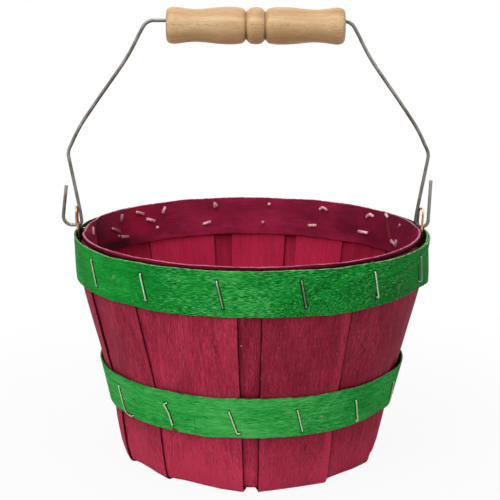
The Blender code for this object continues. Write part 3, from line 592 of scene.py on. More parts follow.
def veneer_finish():
    """Dyed veneer: short fibres that take the dye unevenly, and soft blotches where it pooled.
    The outside is weathered dark and grainy, and the sheltered inside is still bright. Pale
    torn fibres, short dark pores, the sheet's edges painted dark, partly as soaked dye and partly
    as painted shadow, a painted shadow line beside each lap, and a fine pale line where the sheet
    is folded up off the floor. The foot of the wall is painted dark along the ground and at two
    corners, as painted shade."""
    material, shader, start = new_finish("dyed_veneer", 0.05)
    sheet = start.attribute("sheet", 1)
    tone = start.attribute("tone")
    rim = start.attribute("rim")
    seam = start.attribute("seam")
    sheltered = start.attribute("sheltered")
    place = start.spot()
    height = place.part(2)
    fibre = sheet.noise((2300.0, 130.0, 1.0), 3.0, 0.66)
    hair = sheet.noise((3400.0, 480.0, 1.0), 2.0, 0.6)
    streak = sheet.noise((620.0, 20.0, 1.0), 3.0, 0.55)
    pool = sheet.noise((75.0, 34.0, 1.0), 3.0, 0.5)
    pore = sheet.noise((2600.0, 330.0, 1.0), 1.0).band(0.34, 0.26)
    torn = sheet.noise((2600.0, 260.0, 1.0), 2.0, 0.6).band(0.6, 0.7)
    torn_patch = sheet.noise((110.0, 35.0, 1.0), 1.0).band(0.48, 0.62)

    grain = 1.0 - sheltered * 0.6
    depth = 0.5 + tone + (fibre - 0.5) * grain + (hair - 0.5) * grain * 0.6
    depth = depth + (streak - 0.5) * 0.3 + (pool - 0.5) * 0.32
    shade = sheltered.blend(depth.ramp(VENEER_DYE), depth.ramp(SHELTERED_DYE))
    shade = (torn * torn_patch * grain * 0.3).blend(shade, TORN_FIBRE)
    shade = (pore * grain * 0.45).blend(shade, OPEN_PORE)
    # Painted shadow along each lap, shifted by the view, and the sheet's edges painted dark, partly
    # as soaked dye and partly as painted shadow.
    seam_shadow = (seam.band(0.85, 0.3) * 0.8 + seam.band(2.6, 0.4) * 0.15) * seam.band(-3.4, -2.4)
    shade = seam_shadow.maths("MINIMUM", seam_shadow + rim * 0.75, 0.9).blend(shade, SEAM_SHADOW_AND_EDGE)

    upright = sheet.part(1).size().band(0.0768, 0.0788)
    crease = height.band(0.0026, 0.0012) * sheet.noise((300.0, 300.0, 1.0), 2.0).band(0.4, 0.6)
    shade = (crease * upright * 0.3 + place.near(*CHIP) * 0.85).blend(shade, BARE_WOOD)
    # Painted shade at the foot: a dark line along the ground and two dark corners.
    foot_shadow = height.band(0.0013, 0.0004) * upright * 0.55
    for azimuth, radius in SHADED_CORNERS:
        corner = place.near(azimuth, 1.0, -3.0, radius) * (1.0 - sheltered)
        foot_shadow = foot_shadow.maths("MAXIMUM", foot_shadow, corner * 0.9)
    shade = foot_shadow.blend(shade, FOOT_SHADOW)
    relief = fibre * 0.6 + hair * 0.3 + streak * 0.4 - pore * 0.3
    cover(shader, shade, 0.56 + (fibre - 0.5) * 0.25, relief, 0.6, 0.0002)
    return material


def make_splint(name, splint, order, outer):
    """One strip from both of its arms, dyed a little lighter or darker at either end, painted
    lighter low on the wall as painted light bounced up from the floor, and on an outer strip
    painted darker inside as painted shade, where the inner ones shade it."""
    near, near_place, near_seam = splint_arm(splint, order, outer, False)
    far, far_place, far_seam = splint_arm(splint, order, outer, True)
    outside = join_arms(near[0], far[0])
    inside = join_arms(near[1], far[1])
    place = join_arms(near_place, -far_place)
    seam = join_arms(near_seam, far_seam)
    first, last, _, _, (near_tone, far_tone), edge_tone = splint

    at_near = place[..., 1] > 0.0
    along = np.abs(place[..., 1])
    ends = np.where(at_near, near_tone, far_tone)
    across = splint_across((last - first) * MM_PER_DEGREE)
    last_edge = np.interp(across, *LIGHT_EDGE) * edge_tone * at_near
    tone = (ends + last_edge) * np.clip(along / TONE_START, 0.0, 1.0)
    # Painted light: lighter low on the wall, as light bounced up from the floor.
    tone = tone + np.interp(along, *FLOOR_BOUNCE_LIGHT)
    # The inside face keeps half the ends' tone, and an outer strip is painted darker there as
    # painted shade from the inner strips.
    inside_tone_and_shade = 0.5 * ends - LINING_SHADE * float(outer) + 0.0 * along
    item = closed_sheet(name + "_veneer", outside, inside, place, order,
                        {"tone": (tone, inside_tone_and_shade), "seam": (seam, FAR_OFF + 0.0 * seam),
                         "sheltered": (0.0 * seam, 1.0 + 0.0 * seam)})
    item.data.materials.append(dyed_veneer)
    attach(item, "basket")
    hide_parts(name)


dyed_veneer = veneer_finish()
for number, outer_splint in enumerate(OUTER_SPLINTS):
    make_splint("outer_splint_%d" % (number + 1), outer_splint, number, True)


# Inner splints. Six narrower strips of the same veneer lie on top of the outer ones across the
# floor and stand inside them at the wall, over the joins. The dye has faded less in here.

INNER_SPLINTS = (
    (-13.2, 7.6, (0.0, 0.0, 0.0), (0.0, 0.3, 0.0), (0.05, 0.0), 0.0),
    (14.7, 42.0, (0.0, 0.0, 0.0), (0.4, 0.0, 0.0), (0.0, 0.05), 0.0),
    (52.0, 81.0, (0.0, 0.0, 0.0), (0.0, 0.4, 0.0), (0.04, -0.5), 0.0),
    (96.0, 117.0, (0.0, 0.0, 0.0), (0.0, 0.0, 0.3), (-0.04, 0.03), 0.0),
    (120.0, 139.5, (0.0, 0.0, 0.0), (0.3, 0.0, 0.0), (-0.4, 0.0), 0.0),
    (142.5, 162.0, (0.0, 0.4, 0.0), (0.0, 0.0, 0.0), (0.02, -0.03), 0.0),
)

for number, inner_splint in enumerate(INNER_SPLINTS):
    make_splint("inner_splint_%d" % (number + 1), inner_splint,
                number + len(OUTER_SPLINTS), False)


# Outer rim hoop and lower hoop. Thicker veneer dyed green, bent round outside the splints with
# the grain running round. The rim hoop was peeled roughly, so its face is torn at the front,
# and its free end is skived and cut on a slant.

# A band climbs over its own start by its thickness, in CLIMB_ANGLE degrees, and is up there
# CLEAR_ANGLE before the lap. A lap is the azimuth where the band starts, and its length in
# degrees. These reaches before the free end are in degrees too: its cut runs out of the straight
# edge, an outer band is thinned by SKIVE, and an inner one springs in by END_SPRING.
HOOP_THICK = 1.3
HOOP_CLIMB = HOOP_THICK + GAP
CLIMB_ANGLE = 9.0
CLEAR_ANGLE = 2.0
RIM_LAP = (36.0, 38.0)
LOWER_LAP = (142.0, 14.0)
CUT_REACH = 76.0
SKIVE = 1.0
SKIVE_REACH = 15.0
END_SPRING = 0.4
SPRING_REACH = 7.0

# Points along a band for each degree and across it, the long and the short waver of its sawn
# edges, and the waves in its face, in millimetres.
BAND_POINTS = 2.6
BAND_COLUMNS = 20
LONG_WAVER = 0.35
SHORT_WAVER = 0.12
BAND_WAVE = 0.07

# Where the staples go, as a painted shadow lies dark beside each of them.
# Places are an azimuth in degrees and a height in millimetres. Each staple has its crown, from
# the upper to the lower leg with a place at each kink, then its upper and its lower clinch. A
# clinch is given by its tip, or by where its leg comes out, a bend and the tip, or as () where
# it lies straight towards the other one.
RIM_STAPLES = (
    (((-58.0, 145.3), (-55.6, 129.1)), (), ()),
    (((-34.4, 144.9), (-32.7, 128.6)), (), ()),
    (((-9.9, 145.1), (-8.1, 128.8)), (), ()),
    (((14.6, 145.1), (16.3, 128.4)), (), ()),
    (((38.7, 145.8), (40.9, 129.0)), (), ()),
    (((64.2, 145.8), (67.2, 128.2)), (), ()),
    (((109.7, 147.6), (112.1, 131.5)), ((110.1, 146.0),), ()),
    (((129.1, 148.0), (134.4, 134.2)), ((131.0, 145.7), (129.1, 148.4), (127.0, 147.4)),
     ((129.6, 134.5),)),
    (((151.2, 147.9), (156.9, 133.4)), ((152.6, 146.2), (151.2, 148.1), (149.3, 146.0)),
     ((153.7, 134.0),)),
    (((172.9, 148.5), (175.5, 133.6)), ((173.1, 147.0),), ((175.3, 134.6),)),
    (((194.3, 149.6), (198.9, 133.5)), ((193.6, 146.6), (194.4, 149.2), (194.4, 145.8)),
     ((196.2, 135.1),)),
    (((215.1, 148.9), (218.9, 133.9)), ((216.3, 144.6),), ((219.2, 135.3),)),
    (((236.7, 148.9), (239.6, 133.8)), ((237.6, 144.3),), ((239.5, 135.2),)),
    (((262.0, 149.0), (264.6, 132.6)), ((263.0, 144.3),), ()),
    (((118.9, 149.2), (115.6, 133.9)), ((120.3, 151.6),), ((112.6, 132.4),)),
    (((228.8, 148.5), (220.2, 139.7)), ((225.4, 146.2),), ((223.9, 142.1),)),
    (((243.2, 141.1), (234.0, 131.9)), ((239.2, 137.8),), ((238.3, 133.4),)),
)

# The crown of this one staple rides on another one, counted from 0. The lower staples all have
# plain clinches, so only their crowns are given, and the eight at the back are alike.
RIDING_STAPLE = 16
LOWER_CROWNS = (
    ((-58.0, 60.0), (-58.2, 43.4), (-57.0, 41.0), (-53.8, 40.6), (-52.2, 41.6)),
    ((-31.4, 59.9), (-32.6, 59.0), (-31.1, 52.8), (-30.3, 44.4)),
    ((-7.5, 59.1), (-4.8, 43.7), (-3.8, 44.1)),
    ((16.9, 58.9), (19.8, 43.2)),
    ((41.7, 58.5), (45.6, 42.4)),
    ((68.8, 58.4), (71.2, 43.0)),
) + tuple(((turn, 59.4), (turn + 2.8, 43.6))
          for turn in (94.4, 120.2, 146.1, 171.9, 197.7, 223.5, 249.4, 268.4))

# The free ends: how far they reach past or short of the lap, in degrees, at three places from
# the lower edge to the upper one. The rim hoop's is skived to a long slant.
END_PLACES = (0.0, 0.33, 1.0)
RIM_END = (-34.0, -31.0, 18.0)
LOWER_END = (-1.5, -0.5, 1.5)

# One sliver stands up from the rim hoop's edge: azimuth, half width in degrees and height. The
# upper edge is lower by START_DROP where a band's start lies under its lap, and is back up
# START_REACH degrees past it.
SPLINTER = (37.9, 0.2, 1.3)
START_DROP = 1.3
START_REACH = 6.0

# Where a hoop stands off the splints, because an eye's feet or a kink in the veneer hold it
# off: azimuth, how far the full width of it reaches and how far it eases off, in degrees, then
# how far it stands off at its lower and at its upper edge. RIM_DIP is written the same way, but
# says how much lower the upper edge is cut.
RIM_STAND = ((88.0, 10.0, 12.0, 3.0, 0.0), (-88.0, 8.0, 12.0, 0.8, 0.0))
LOWER_STAND = ((88.0, 14.0, 16.0, 1.9, 1.6), (-84.0, 12.0, 16.0, 1.3, 0.3))
RIM_DIP = ((254.0, 12.0, 12.0, 0.0, 0.5),)

# Marks on the green hoops: azimuth, height, radius in millimetres and how strong they are.
# Yellow spots on both, and red-brown nicks at the lower edge of the lower hoop. Then the one
# crack: its azimuth, the height of its top, and millimetres for each degree there. The rim hoop's
# top is painted dark at the back, as painted shade: azimuth, reach in degrees, how far down and
# how softly in millimetres.
YELLOW_SPOTS = ((43.6, 142.2, 1.3, 0.8), (52.0, 130.6, 1.4, 0.5), (45.5, 128.4, 1.0, 0.5),
                (-46.0, 139.0, 1.6, 0.4), (27.0, 52.0, 1.3, 0.5))
BROWN_NICKS = ((-30.2, 41.2, 2.3, 0.9), (-29.0, 40.8, 1.7, 0.9), (-19.8, 41.0, 1.0, 0.5))
CRACK = (-20.65, 54.0, 1.65)
SHADED_TOP = (250.0, 50.0, 1.9, 1.2)

# How light each green hoop is dyed, and patches where it is lighter or darker: azimuth, reach in
# degrees and how much. How torn a face is eases off in TORN_EASE degrees.
RIM_TONE = 0.03
RIM_PATCHES = ((-8.0, 26.0, 0.15), (70.0, 54.0, -0.12), (-58.0, 26.0, 0.05))
LOWER_TONE = 0.21
LOWER_PATCHES = ((-2.0, 36.0, 0.1), (75.0, 60.0, -0.1))
TORN_EASE = 14.0

# Green dye by how much of it the wood took. A staple's painted shadow darkens the veneer up to
# BESIDE_REACH from its line, measured as if the wall were laid flat at FLAT_MM for each degree.
GREEN_DYE = ((0.16, (0, 74, 18)), (0.42, (2, 122, 34)), (0.66, (18, 156, 54)),
             (0.95, (88, 198, 100)))
YELLOW_STAIN = (168, 150, 62)
BROWN_STAIN = (112, 44, 32)
BESIDE_REACH = 9.0
FLAT_MM = 2.0


def stand_off(turn, across, stands):
    """How far a band stands off: for each stand a smooth step down from its middle, times the
    straight mix of its values at the lower and the upper edge, all added up."""
    total = 0.0 * turn * across
    for middle, reach, ease, low, high in stands:
        away = np.abs(degrees_from(turn, middle))
        total = total + (low + (high - low) * across) * smooth_step(1.0 - (away - reach) / ease)
    return total


def sawn_edge(along, long_wave, short_wave, seed):
    """How far a band's sawn edge wavers, as a long wave with a short one on it."""
    waver = LONG_WAVER * wander(along, long_wave, seed)
    return waver + SHORT_WAVER * wander(along, short_wave, seed + 1)


def near_end(run, full, reach):
    """1 at the free end of a band, easing to 0 at reach degrees before it."""
    return smooth_step(1.0 + (run - full) / reach)


def hoop_faces(heights, lap, depth, inwards, direction, end_cut, ragged, stands, dips, seed):
    """A band round the wall, from its hidden start once round and on over itself. Its height
    runs between two wavering edges, the upper one lower at its dips and where the start is
    hidden. Its depth climbs by one thickness before the lap. An outer band's free end is
    thinned, and an inner one's springs in by END_SPRING. Only the most ragged one, the rim
    hoop, has the splinter. Returns both faces, the place on the band, and the azimuth and
    height of each point."""
    start, reach = lap
    full = 360.0 + reach
    run = np.linspace(0.0, full, int(full * BAND_POINTS))[:, None]
    width = heights[1] - heights[0]
    rim = 0.25 / width
    middle = np.linspace(3.0 * rim, 1.0 - 3.0 * rim, BAND_COLUMNS)
    across = np.concatenate(([0.0, rim], middle, [1.0 - rim, 1.0]))
    cut = np.interp(across, END_PLACES, end_cut) * near_end(run, full, CUT_REACH)
    turn = start + direction * (run + cut)
    along = run * math.pi / 180.0 * wall_radius(np.array(heights[0]))

    low = heights[0] + ragged * sawn_edge(along, 60.0, 7.0, seed)
    high = heights[1] + ragged * sawn_edge(along, 75.0, 8.0, seed + 2)
    if ragged == 1.0:
        away = degrees_from(turn, SPLINTER[0]) / SPLINTER[1]
        high = high + SPLINTER[2] * np.exp(-away ** 2)
    high = high - START_DROP * (1.0 - smooth_step((run - reach) / START_REACH))
    high = high - stand_off(turn, 1.0, dips)
    height = low + (high - low) * across

    climb = HOOP_CLIMB * smooth_step((run - (360.0 - CLIMB_ANGLE - CLEAR_ANGLE)) / CLIMB_ANGLE)
    wave = BAND_WAVE * ripple(along, across, 55.0, 1.3, seed + 4)
    if inwards:
        outside = depth + climb + wave + END_SPRING * near_end(run, full, SPRING_REACH)
        inside = outside + HOOP_THICK
    else:
        inside = depth - climb + wave - stand_off(turn, across, stands)
        outside = inside - HOOP_THICK + SKIVE * near_end(run, full, SKIVE_REACH)
    place = np.stack(np.broadcast_arrays(width * across, along), axis=-1)
    faces = [wall_point(turn, height, outside), wall_point(turn, height, inside)]
    return faces, place, turn + 0.0 * across, height


def beside_lines(turn, height, lines):
    """Signed distance in millimetres from the nearest of some lines on the wall, laid flat, and
    the distance from that line's nearest point, both up to BESIDE_REACH."""
    side = np.full(turn.shape, BESIDE_REACH)
    nearest = np.full(turn.shape, BESIDE_REACH)
    for line in lines:
        for (first, bottom), (last, top) in zip(line[:-1], line[1:]):
            run = FLAT_MM * (last - first)
            rise = top - bottom
            length = math.hypot(run, rise)
            x = FLAT_MM * degrees_from(turn, first)
            y = height - bottom
            along = (x * run + y * rise) / length
            off = (x * rise - y * run) / length
            distance = np.hypot(off, np.maximum(np.maximum(-along, along - length), 0.0))
            side = np.where(distance < nearest, off, side)
            nearest = np.minimum(distance, nearest)
    return side, nearest


def green_hoop_finish():
    """Green-dyed peeled veneer: fibres along the band, broad clouds of dye, torn patches where
    short pale fibres stand over dark gaps, a painted shadow beside each staple, a few spots, a
    pale top edge and a brown lower one, and on the lower hoop one crack. The hidden inner face
    and the rim hoop's top at the back are painted dark, as painted shade."""
    material, shader, start = new_finish("green_hoop_dye", 0.06)
    sheet = start.attribute("sheet", 1)
    torn = start.attribute("torn")
    tone = start.attribute("tone")
    place = start.spot()
    cloud = sheet.noise((60.0, 40.0, 1.0), 3.0, 0.55)
    fibre = sheet.noise((2600.0, 230.0, 1.0), 3.0, 0.62)
    band = sheet.noise((420.0, 16.0, 1.0), 3.0, 0.55)
    ridge = sheet.noise((2800.0, 330.0, 1.0), 2.0, 0.55, 0.3)
    snag = (ridge - 0.5) * torn
    patch = torn * sheet.noise((130.0, 60.0, 1.0), 1.0).band(0.3, 0.5)
    speck = sheet.noise((420.0, 300.0, 1.0), 1.0).band(0.76, 0.8)
    frayed = sheet.noise((900.0, 260.0, 1.0), 2.0).band(0.4, 0.62)

    depth = 0.5 + tone + (cloud - 0.5) * 0.45 + (fibre - 0.5) * (tone + 0.65)
    depth = depth + (band - 0.5) * 0.35 + snag * 1.1
    shade = depth.ramp(GREEN_DYE)
    shade = (ridge.band(0.57, 0.66) * patch * 0.6).blend(shade, (112, 206, 132))
    shade = (ridge.band(0.45, 0.37) * patch * 0.75).blend(shade, (0, 58, 20))
    shade = (speck * 0.35).blend(shade, (140, 170, 60))
    for marks, stain in ((YELLOW_SPOTS, YELLOW_STAIN), (BROWN_NICKS, BROWN_STAIN)):
        for azimuth, height, radius, strength in marks:
            spot = place.near(azimuth, height, -GAP - HOOP_THICK, radius) * strength
            shade = spot.blend(shade, stain)
    shade = (start.attribute("crack").band(0.45, 0.1) * 0.85).blend(shade, (6, 44, 16))
    # Painted shadow beside each staple's line.
    staple_shadow = start.attribute("beside").size().band(1.5, 0.8)
    staple_shadow = staple_shadow * start.attribute("staple").band(1.8, 0.9)
    shade = (staple_shadow * 0.85).blend(shade, (18, 40, 18))
    pale = sheet.part(0).band(0.013, 0.015) * (1.0 - tone * 4.0)
    edge = pale.blend((72, 52, 30), (150, 206, 140))
    shade = (start.attribute("rim") * (0.2 + frayed * 0.55)).blend(shade, edge)
    # Painted shade: the hidden inner face, and the rim hoop's top at the back.
    shade = (start.attribute("hidden") * 0.85).blend(shade, (18, 30, 14))
    roughness = 0.62 - patch * 0.14 + (fibre - 0.5) * 0.3
    cover(shader, shade, roughness, fibre * 0.4 + band * 0.4 + snag * 1.8, 0.8, 0.0004)
    return material


def make_hoop(name, faces, place, extra, order, finish):
    """A hoop from its two faces, riding on the basket in the place of its plain solid."""
    item = closed_sheet(name, faces[0], faces[1], place, order, extra)
    item.data.materials.append(finish)
    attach(item, "basket")
    return item


def torn_front(turn, first, last, floor):
    """How torn the face is: 1 between two azimuths, easing to floor within TORN_EASE."""
    turned = degrees_from(turn, 0.0)
    away = np.maximum(first - turned, turned - last)
    return floor + (1.0 - floor) * smooth_step(1.0 - away / TORN_EASE)


green_dye = green_hoop_finish()
hoop_out = -GAP
faces, place, turn, height = hoop_faces(RIM_HOOP_Z, RIM_LAP, hoop_out, False, 1.0, RIM_END,
                                        1.0, RIM_STAND, RIM_DIP, 900)
flat = 0.0 * turn
beside, nearest = beside_lines(turn, height, [staple[0] for staple in RIM_STAPLES])
# Painted shade on the rim hoop's top at the back; its inner face is painted dark all over.
shaded_top = smooth_step((height - RIM_HOOP_Z[1] + SHADED_TOP[2]) / SHADED_TOP[3])
shaded_top = shaded_top * patch_of(turn, SHADED_TOP[0], SHADED_TOP[1])
rim_hoop = make_hoop("rim_hoop_outer_band", faces, place,
                     {"torn": torn_front(turn, -24.0, 50.0, 0.25), "crack": FAR_OFF + flat,
                      "tone": RIM_TONE + patches(turn, RIM_PATCHES),
                      "hidden": (shaded_top, 1.0 + flat),
                      "beside": beside, "staple": nearest},
                     20, green_dye)
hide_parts("rim_hoop_outer")
faces, place, turn, height = hoop_faces(LOWER_HOOP_Z, LOWER_LAP, hoop_out, False, 1.0, LOWER_END,
                                        0.9, LOWER_STAND, (), 930)
crack_away = np.abs(degrees_from(turn, CRACK[0])) * CRACK[2]
crack_away = np.maximum(crack_away, height - CRACK[1])
flat = 0.0 * turn
beside, nearest = beside_lines(turn, height, LOWER_CROWNS)
lower_hoop = make_hoop("lower_hoop_band", faces, place,
                       {"torn": torn_front(turn, 20.0, 60.0, 0.4) * 0.5, "crack": crack_away,
                        "tone": LOWER_TONE + patches(turn, LOWER_PATCHES),
                        "hidden": (flat, 1.0 + flat),
                        "beside": beside, "staple": nearest},
                       21, green_dye)
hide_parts("lower_hoop")


# Inner rim hoop. A smoother band of thick veneer, dyed burgundy like the splints but darker,
# bent round inside their ends. Its sawn top edge took little dye, so it shows pink.

# Its free end reaches past or short of its lap by INNER_END, as for the green hoops. A painted
# shadow lies beside it, END_SHADOW degrees wide up to the azimuth INNER_STOP, and the band is
# painted darker in patches of an azimuth, a reach in degrees and a strength, the one on the left
# as painted shade. LOW_SHADOW is painted shadow on the band's lower part on the left, and lies
# only below LOW_SHADOW_Z. The outer face is painted dark below its top, as painted shade in the
# gap between the hoops. The rust follows a line of azimuths and heights.
INNER_HOOP_Z = (125.2, 152.45)
INNER_LAP = (269.5, 14.0)
INNER_END = (-3.2, -2.7, -2.2)
INNER_STOP = 258.2
END_SHADOW = 30.0
DARK_PATCHES = ((275.0, 30.0, 0.2), (112.0, 38.0, 0.5))
LOW_SHADOW = ((243.0, 30.0, 0.9),)
LOW_SHADOW_Z = 135.0
LOW_SHADOW_EASE = 8.0
MOST_SHADE = 0.95
RUST_LINE = ((119.6, 147.0), (118.6, 142.0), (117.6, 137.5), (115.7, 133.2))
BURGUNDY_DYE = ((0.2, (102, 12, 42)), (0.5, (146, 26, 62)), (0.82, (180, 42, 84)))
RUST = (176, 70, 66)


def burgundy_hoop_finish():
    """Burgundy-dyed smooth veneer: faint fibres along the band, soft blotches, a pink edge
    that took little dye, one brighter stain, a line of rust where a staple shows through, and
    painted shade: a painted shadow beside the free end, low on the left and in the gap between
    the hoops, and a few darker patches."""
    material, shader, start = new_finish("burgundy_hoop_dye", 0.18)
    sheet = start.attribute("sheet", 1)
    place = start.spot()
    frayed = sheet.noise((900.0, 200.0, 1.0), 2.0).band(0.34, 0.62)
    cloud = sheet.noise((70.0, 34.0, 1.0), 3.0, 0.55)
    fibre = sheet.noise((1300.0, 90.0, 1.0), 3.0, 0.6)
    depth = 0.5 + (cloud - 0.5) * 1.0 + (fibre - 0.5) * 0.5
    shade = depth.ramp(BURGUNDY_DYE)
    shade = (place.near(226.0, 143.0, 8.0, 20.0) * 0.5).blend(shade, (178, 20, 66))
    rusty = start.attribute("beside").size().band(1.5, 0.7)
    rusty = rusty * start.attribute("staple").band(1.9, 0.9)
    shade = (rusty * 0.85).blend(shade, RUST)
    # Painted shade from the mesh, and one more darker patch.
    grime = start.attribute("grime") + place.near(141.0, 139.5, 8.0, 17.0) * 0.35
    shade = grime.blend(shade, (40, 4, 16))
    shade = (start.attribute("rim") * (0.3 + frayed * 0.6)).blend(shade, (206, 112, 138))
    cover(shader, shade, 0.48 + (fibre - 0.5) * 0.3, fibre + cloud * 0.5, 0.4, 0.0002)
    return material


inner_depth = 2.0 * LEVEL + VENEER + GAP
faces, place, turn, height = hoop_faces(INNER_HOOP_Z, INNER_LAP, inner_depth, True, -1.0,
                                        INNER_END, 0.8, (), (), 960)
# Painted shadow beside the free end, low on the left and in the gap between the hoops; the darker
# patches go on top.
from_end = INNER_STOP - turn % 360.0
grime = np.clip(1.0 - from_end / END_SHADOW, 0.0, 1.0) ** 1.3 * (from_end > -0.2) * MOST_SHADE
grime = grime + patches(turn, LOW_SHADOW) * smooth_step((LOW_SHADOW_Z - height) / LOW_SHADOW_EASE)
grime = np.clip(grime + patches(turn, DARK_PATCHES), 0.0, MOST_SHADE)
gap_shadow = smooth_step(INNER_HOOP_Z[1] - 0.3 - height) * MOST_SHADE
beside, nearest = beside_lines(turn, height, [RUST_LINE])
inner_hoop = make_hoop("rim_hoop_inner_band", faces, place,
                       {"grime": (gap_shadow, grime), "beside": beside, "staple": nearest},
                       22, burgundy_hoop_finish())
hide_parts("rim_hoop_inner")


# Staples. Flattened steel wire driven from outside through hoop and splints and clinched on
# the inside. No two are alike: the crowns lean and the clinched ends point where they will.

# The wire's width and its thickness as a share of that, the radius of its bends, how far a crown
# stands off the band, the length of a plain clinch, how far aside one may point, how much wider
# a clinch is swaged, and how much deeper a given tip lies. BULGE_R is the radius of the rim,
# whose arc a straight crown bridges.
STAPLE_WIRE = 0.86
STAPLE_FLAT = 0.86
STAPLE_BEND = 0.75
STAPLE_SEAT = 0.2
CLINCH = 4.4
CLINCH_SKEW = 0.35
CLINCH_SWELL = 2.7
TIP_SINK = 0.25
BULGE_R = 116.0

# The floor staple holds the stack of all splints. Its crown lies on top, FLOOR_STAPLE_TURN
# degrees from the left-right line, and its tips come down to FLOOR_TIP_Z.
FLOOR_TIP_Z = 0.3
FLOOR_STAPLE_SPAN = 16.5
FLOOR_STAPLE_TURN = 82.0


def round_corners(points, radius, steps=5):
    """A path of straight runs with each corner swapped for a parabola that starts and ends
    radius away from it."""
    points = np.array(points)
    path = [points[:1]]
    share = np.linspace(0.0, 1.0, steps)[:, None]
    for before, corner, after in zip(points[:-2], points[1:-1], points[2:]):
        back = (before - corner) * min(0.45, radius / np.linalg.norm(before - corner))
        ahead = (after - corner) * min(0.45, radius / np.linalg.norm(after - corner))
        path.append(corner + back * (1.0 - share) ** 2 + ahead * share ** 2)
    path.append(points[-1:])
    return np.concatenate(path)


def rod_parts(path, side, section, scale):
    """A rod along a path: the section, given as offsets along side and along the normal, is
    scaled and set square to the path at each point. Its ends are closed by a fan of faces."""
    ahead = np.gradient(path, axis=0)
    ahead /= np.linalg.norm(ahead, axis=1)[:, None]
    side = side - ahead * (ahead @ side)[:, None]
    side /= np.linalg.norm(side, axis=1)[:, None]
    normal = np.cross(ahead, side)
    ring = (side[:, None] * section[None, :, :1] + normal[:, None] * section[None, :, 1:])
    ring = path[:, None] + ring * scale[:, None, None]
    count, sides = ring.shape[:2]
    points = np.concatenate((ring.reshape(-1, 3), path[:1], path[-1:]))
    index = np.arange(count * sides).reshape(count, sides)
    following = np.roll(index, -1, axis=1)
    quads = np.stack((index[:-1], following[:-1], following[1:], index[1:]), axis=-1)
    quads = quads.reshape(-1, 4)
    first = count * sides
    start = np.stack((following[0], index[0], np.full(sides, first)), axis=-1)
    end = np.stack((index[-1], following[-1], np.full(sides, first + 1)), axis=-1)
    return points, quads, np.concatenate((start, end))


def domed(path, radius, steps=4):
    """A path and its scale with both ends drawn out into a flat dome of half a radius."""
    share = np.linspace(0.0, 0.5 * math.pi, steps + 1)[1:] * 0.94
    out = 0.45 * radius * np.sin(share)[:, None]
    small = np.cos(share)
    head = path[0] - path[1]
    head /= np.linalg.norm(head)
    tail = path[-1] - path[-2]
    tail /= np.linalg.norm(tail)
    points = np.concatenate(((path[0] + head * out)[::-1], path, path[-1] + tail * out))
    scale = np.concatenate((small[::-1], np.ones(len(path)), small))
    return points, scale


def domed_rod(path, radius, side, section, steps=4):
    """A rod along a path with both of its ends domed."""
    path, scale = domed(path, radius, steps)
    return rod_parts(path, side, section, scale)


def solid_rods(name, rods):
    """One object from a list of rods, each given as its points, quads and end triangles."""
    points = []
    faces = []
    start = 0
    for rod_points, quads, ends in rods:
        centred = rod_points - rod_points.mean(axis=0)
        volume = swept_volume(centred, quads) + swept_volume(centred, ends)
        turn = -1 if volume < 0.0 else 1
        points.append(rod_points)
        faces += (quads[:, ::turn] + start).tolist()
        faces += (ends[:, ::turn] + start).tolist()
        start += len(rod_points)
    return add_mesh(name, np.concatenate(points) * MM, faces)


def rounded_section(width, height, sides, power=3.0):
    """A superellipse with this exponent, 2 for a plain ellipse, as offsets on two axes."""
    angle = np.linspace(0.0, 2.0 * math.pi, sides, endpoint=False)
    cosine = np.cos(angle)
    sine = np.sin(angle)
    reach = (np.abs(cosine) ** power + np.abs(sine) ** power) ** (-1.0 / power)
    return np.stack((0.5 * width * reach * cosine, 0.5 * height * reach * sine), axis=-1)


def hoop_climb(turn, lap, direction=1.0):
    """How far the band has climbed over its own start at this azimuth."""
    travelled = (direction * (turn - lap[0])) % 360.0
    travelled += 360.0 * (travelled < lap[1])
    return HOOP_CLIMB * float(smooth_step((travelled - 360.0 + CLIMB_ANGLE + CLEAR_ANGLE)
                                          / CLIMB_ANGLE))


def staple_rod(crown_places, tips, crown, clinch, seed):
    """One staple: a crown outside through the given places, each at its own depth, two legs
    through the wall, and two clinched ends inside that are swaged flat and wider."""
    draw = np.random.default_rng(seed)
    outside = [wall_point(turn, height, depth) for (turn, height), depth in zip(crown_places,
                                                                                crown)]
    ends = [wall_point(*(tip[0] if len(tip) > 1 else place), clinch)
            for tip, place in zip(tips, (crown_places[0], crown_places[-1]))]
    way = (ends[1] - ends[0]) / np.linalg.norm(ends[1] - ends[0])
    clinches = []
    for end, tip, ahead in zip(ends, tips, (way, -way)):
        if tip:
            bends = tip[1:] if len(tip) > 1 else tip
            clinches.append([wall_point(turn, height, clinch + TIP_SINK) for turn, height in bends])
        else:
            skew = np.cross(ahead, end * (1.0, 1.0, 0.0)) / np.linalg.norm(end)
            skew = skew * draw.uniform(-CLINCH_SKEW, CLINCH_SKEW)
            clinches.append([end + (ahead + skew) * CLINCH])
    inward = ends[0] - outside[0]
    side = np.cross(way, inward)
    path = clinches[0][::-1] + [ends[0]] + outside + [ends[1]] + clinches[1]
    path = round_corners(path, STAPLE_BEND)
    path, scale = domed(path, 0.5 * STAPLE_WIRE, 2)
    inside = np.linalg.norm(path[:, :2], axis=1) < np.linalg.norm(ends[0][:2]) + 0.3
    scale = scale * np.where(inside, CLINCH_SWELL, 1.0)
    return rod_parts(path, side, staple_section, scale)


def crown_depths(places, outer_depth, heights, lap, stands):
    """How deep each place on a crown lies: on the band's face, which climbs at the lap and
    stands off in places."""
    depths = []
    for turn, height in places:
        share = (height - heights[0]) / (heights[1] - heights[0])
        depth = outer_depth - hoop_climb(turn, lap)
        depths.append(depth - float(stand_off(np.array(turn), share, stands)))
    return depths


def has_inner_splint(turn):
    """Whether an inner splint lies behind this azimuth or ends within a degree of it."""
    return any((turn - first + 1.0) % 180.0 <= last - first + 2.0
               for first, last, *_ in INNER_SPLINTS)


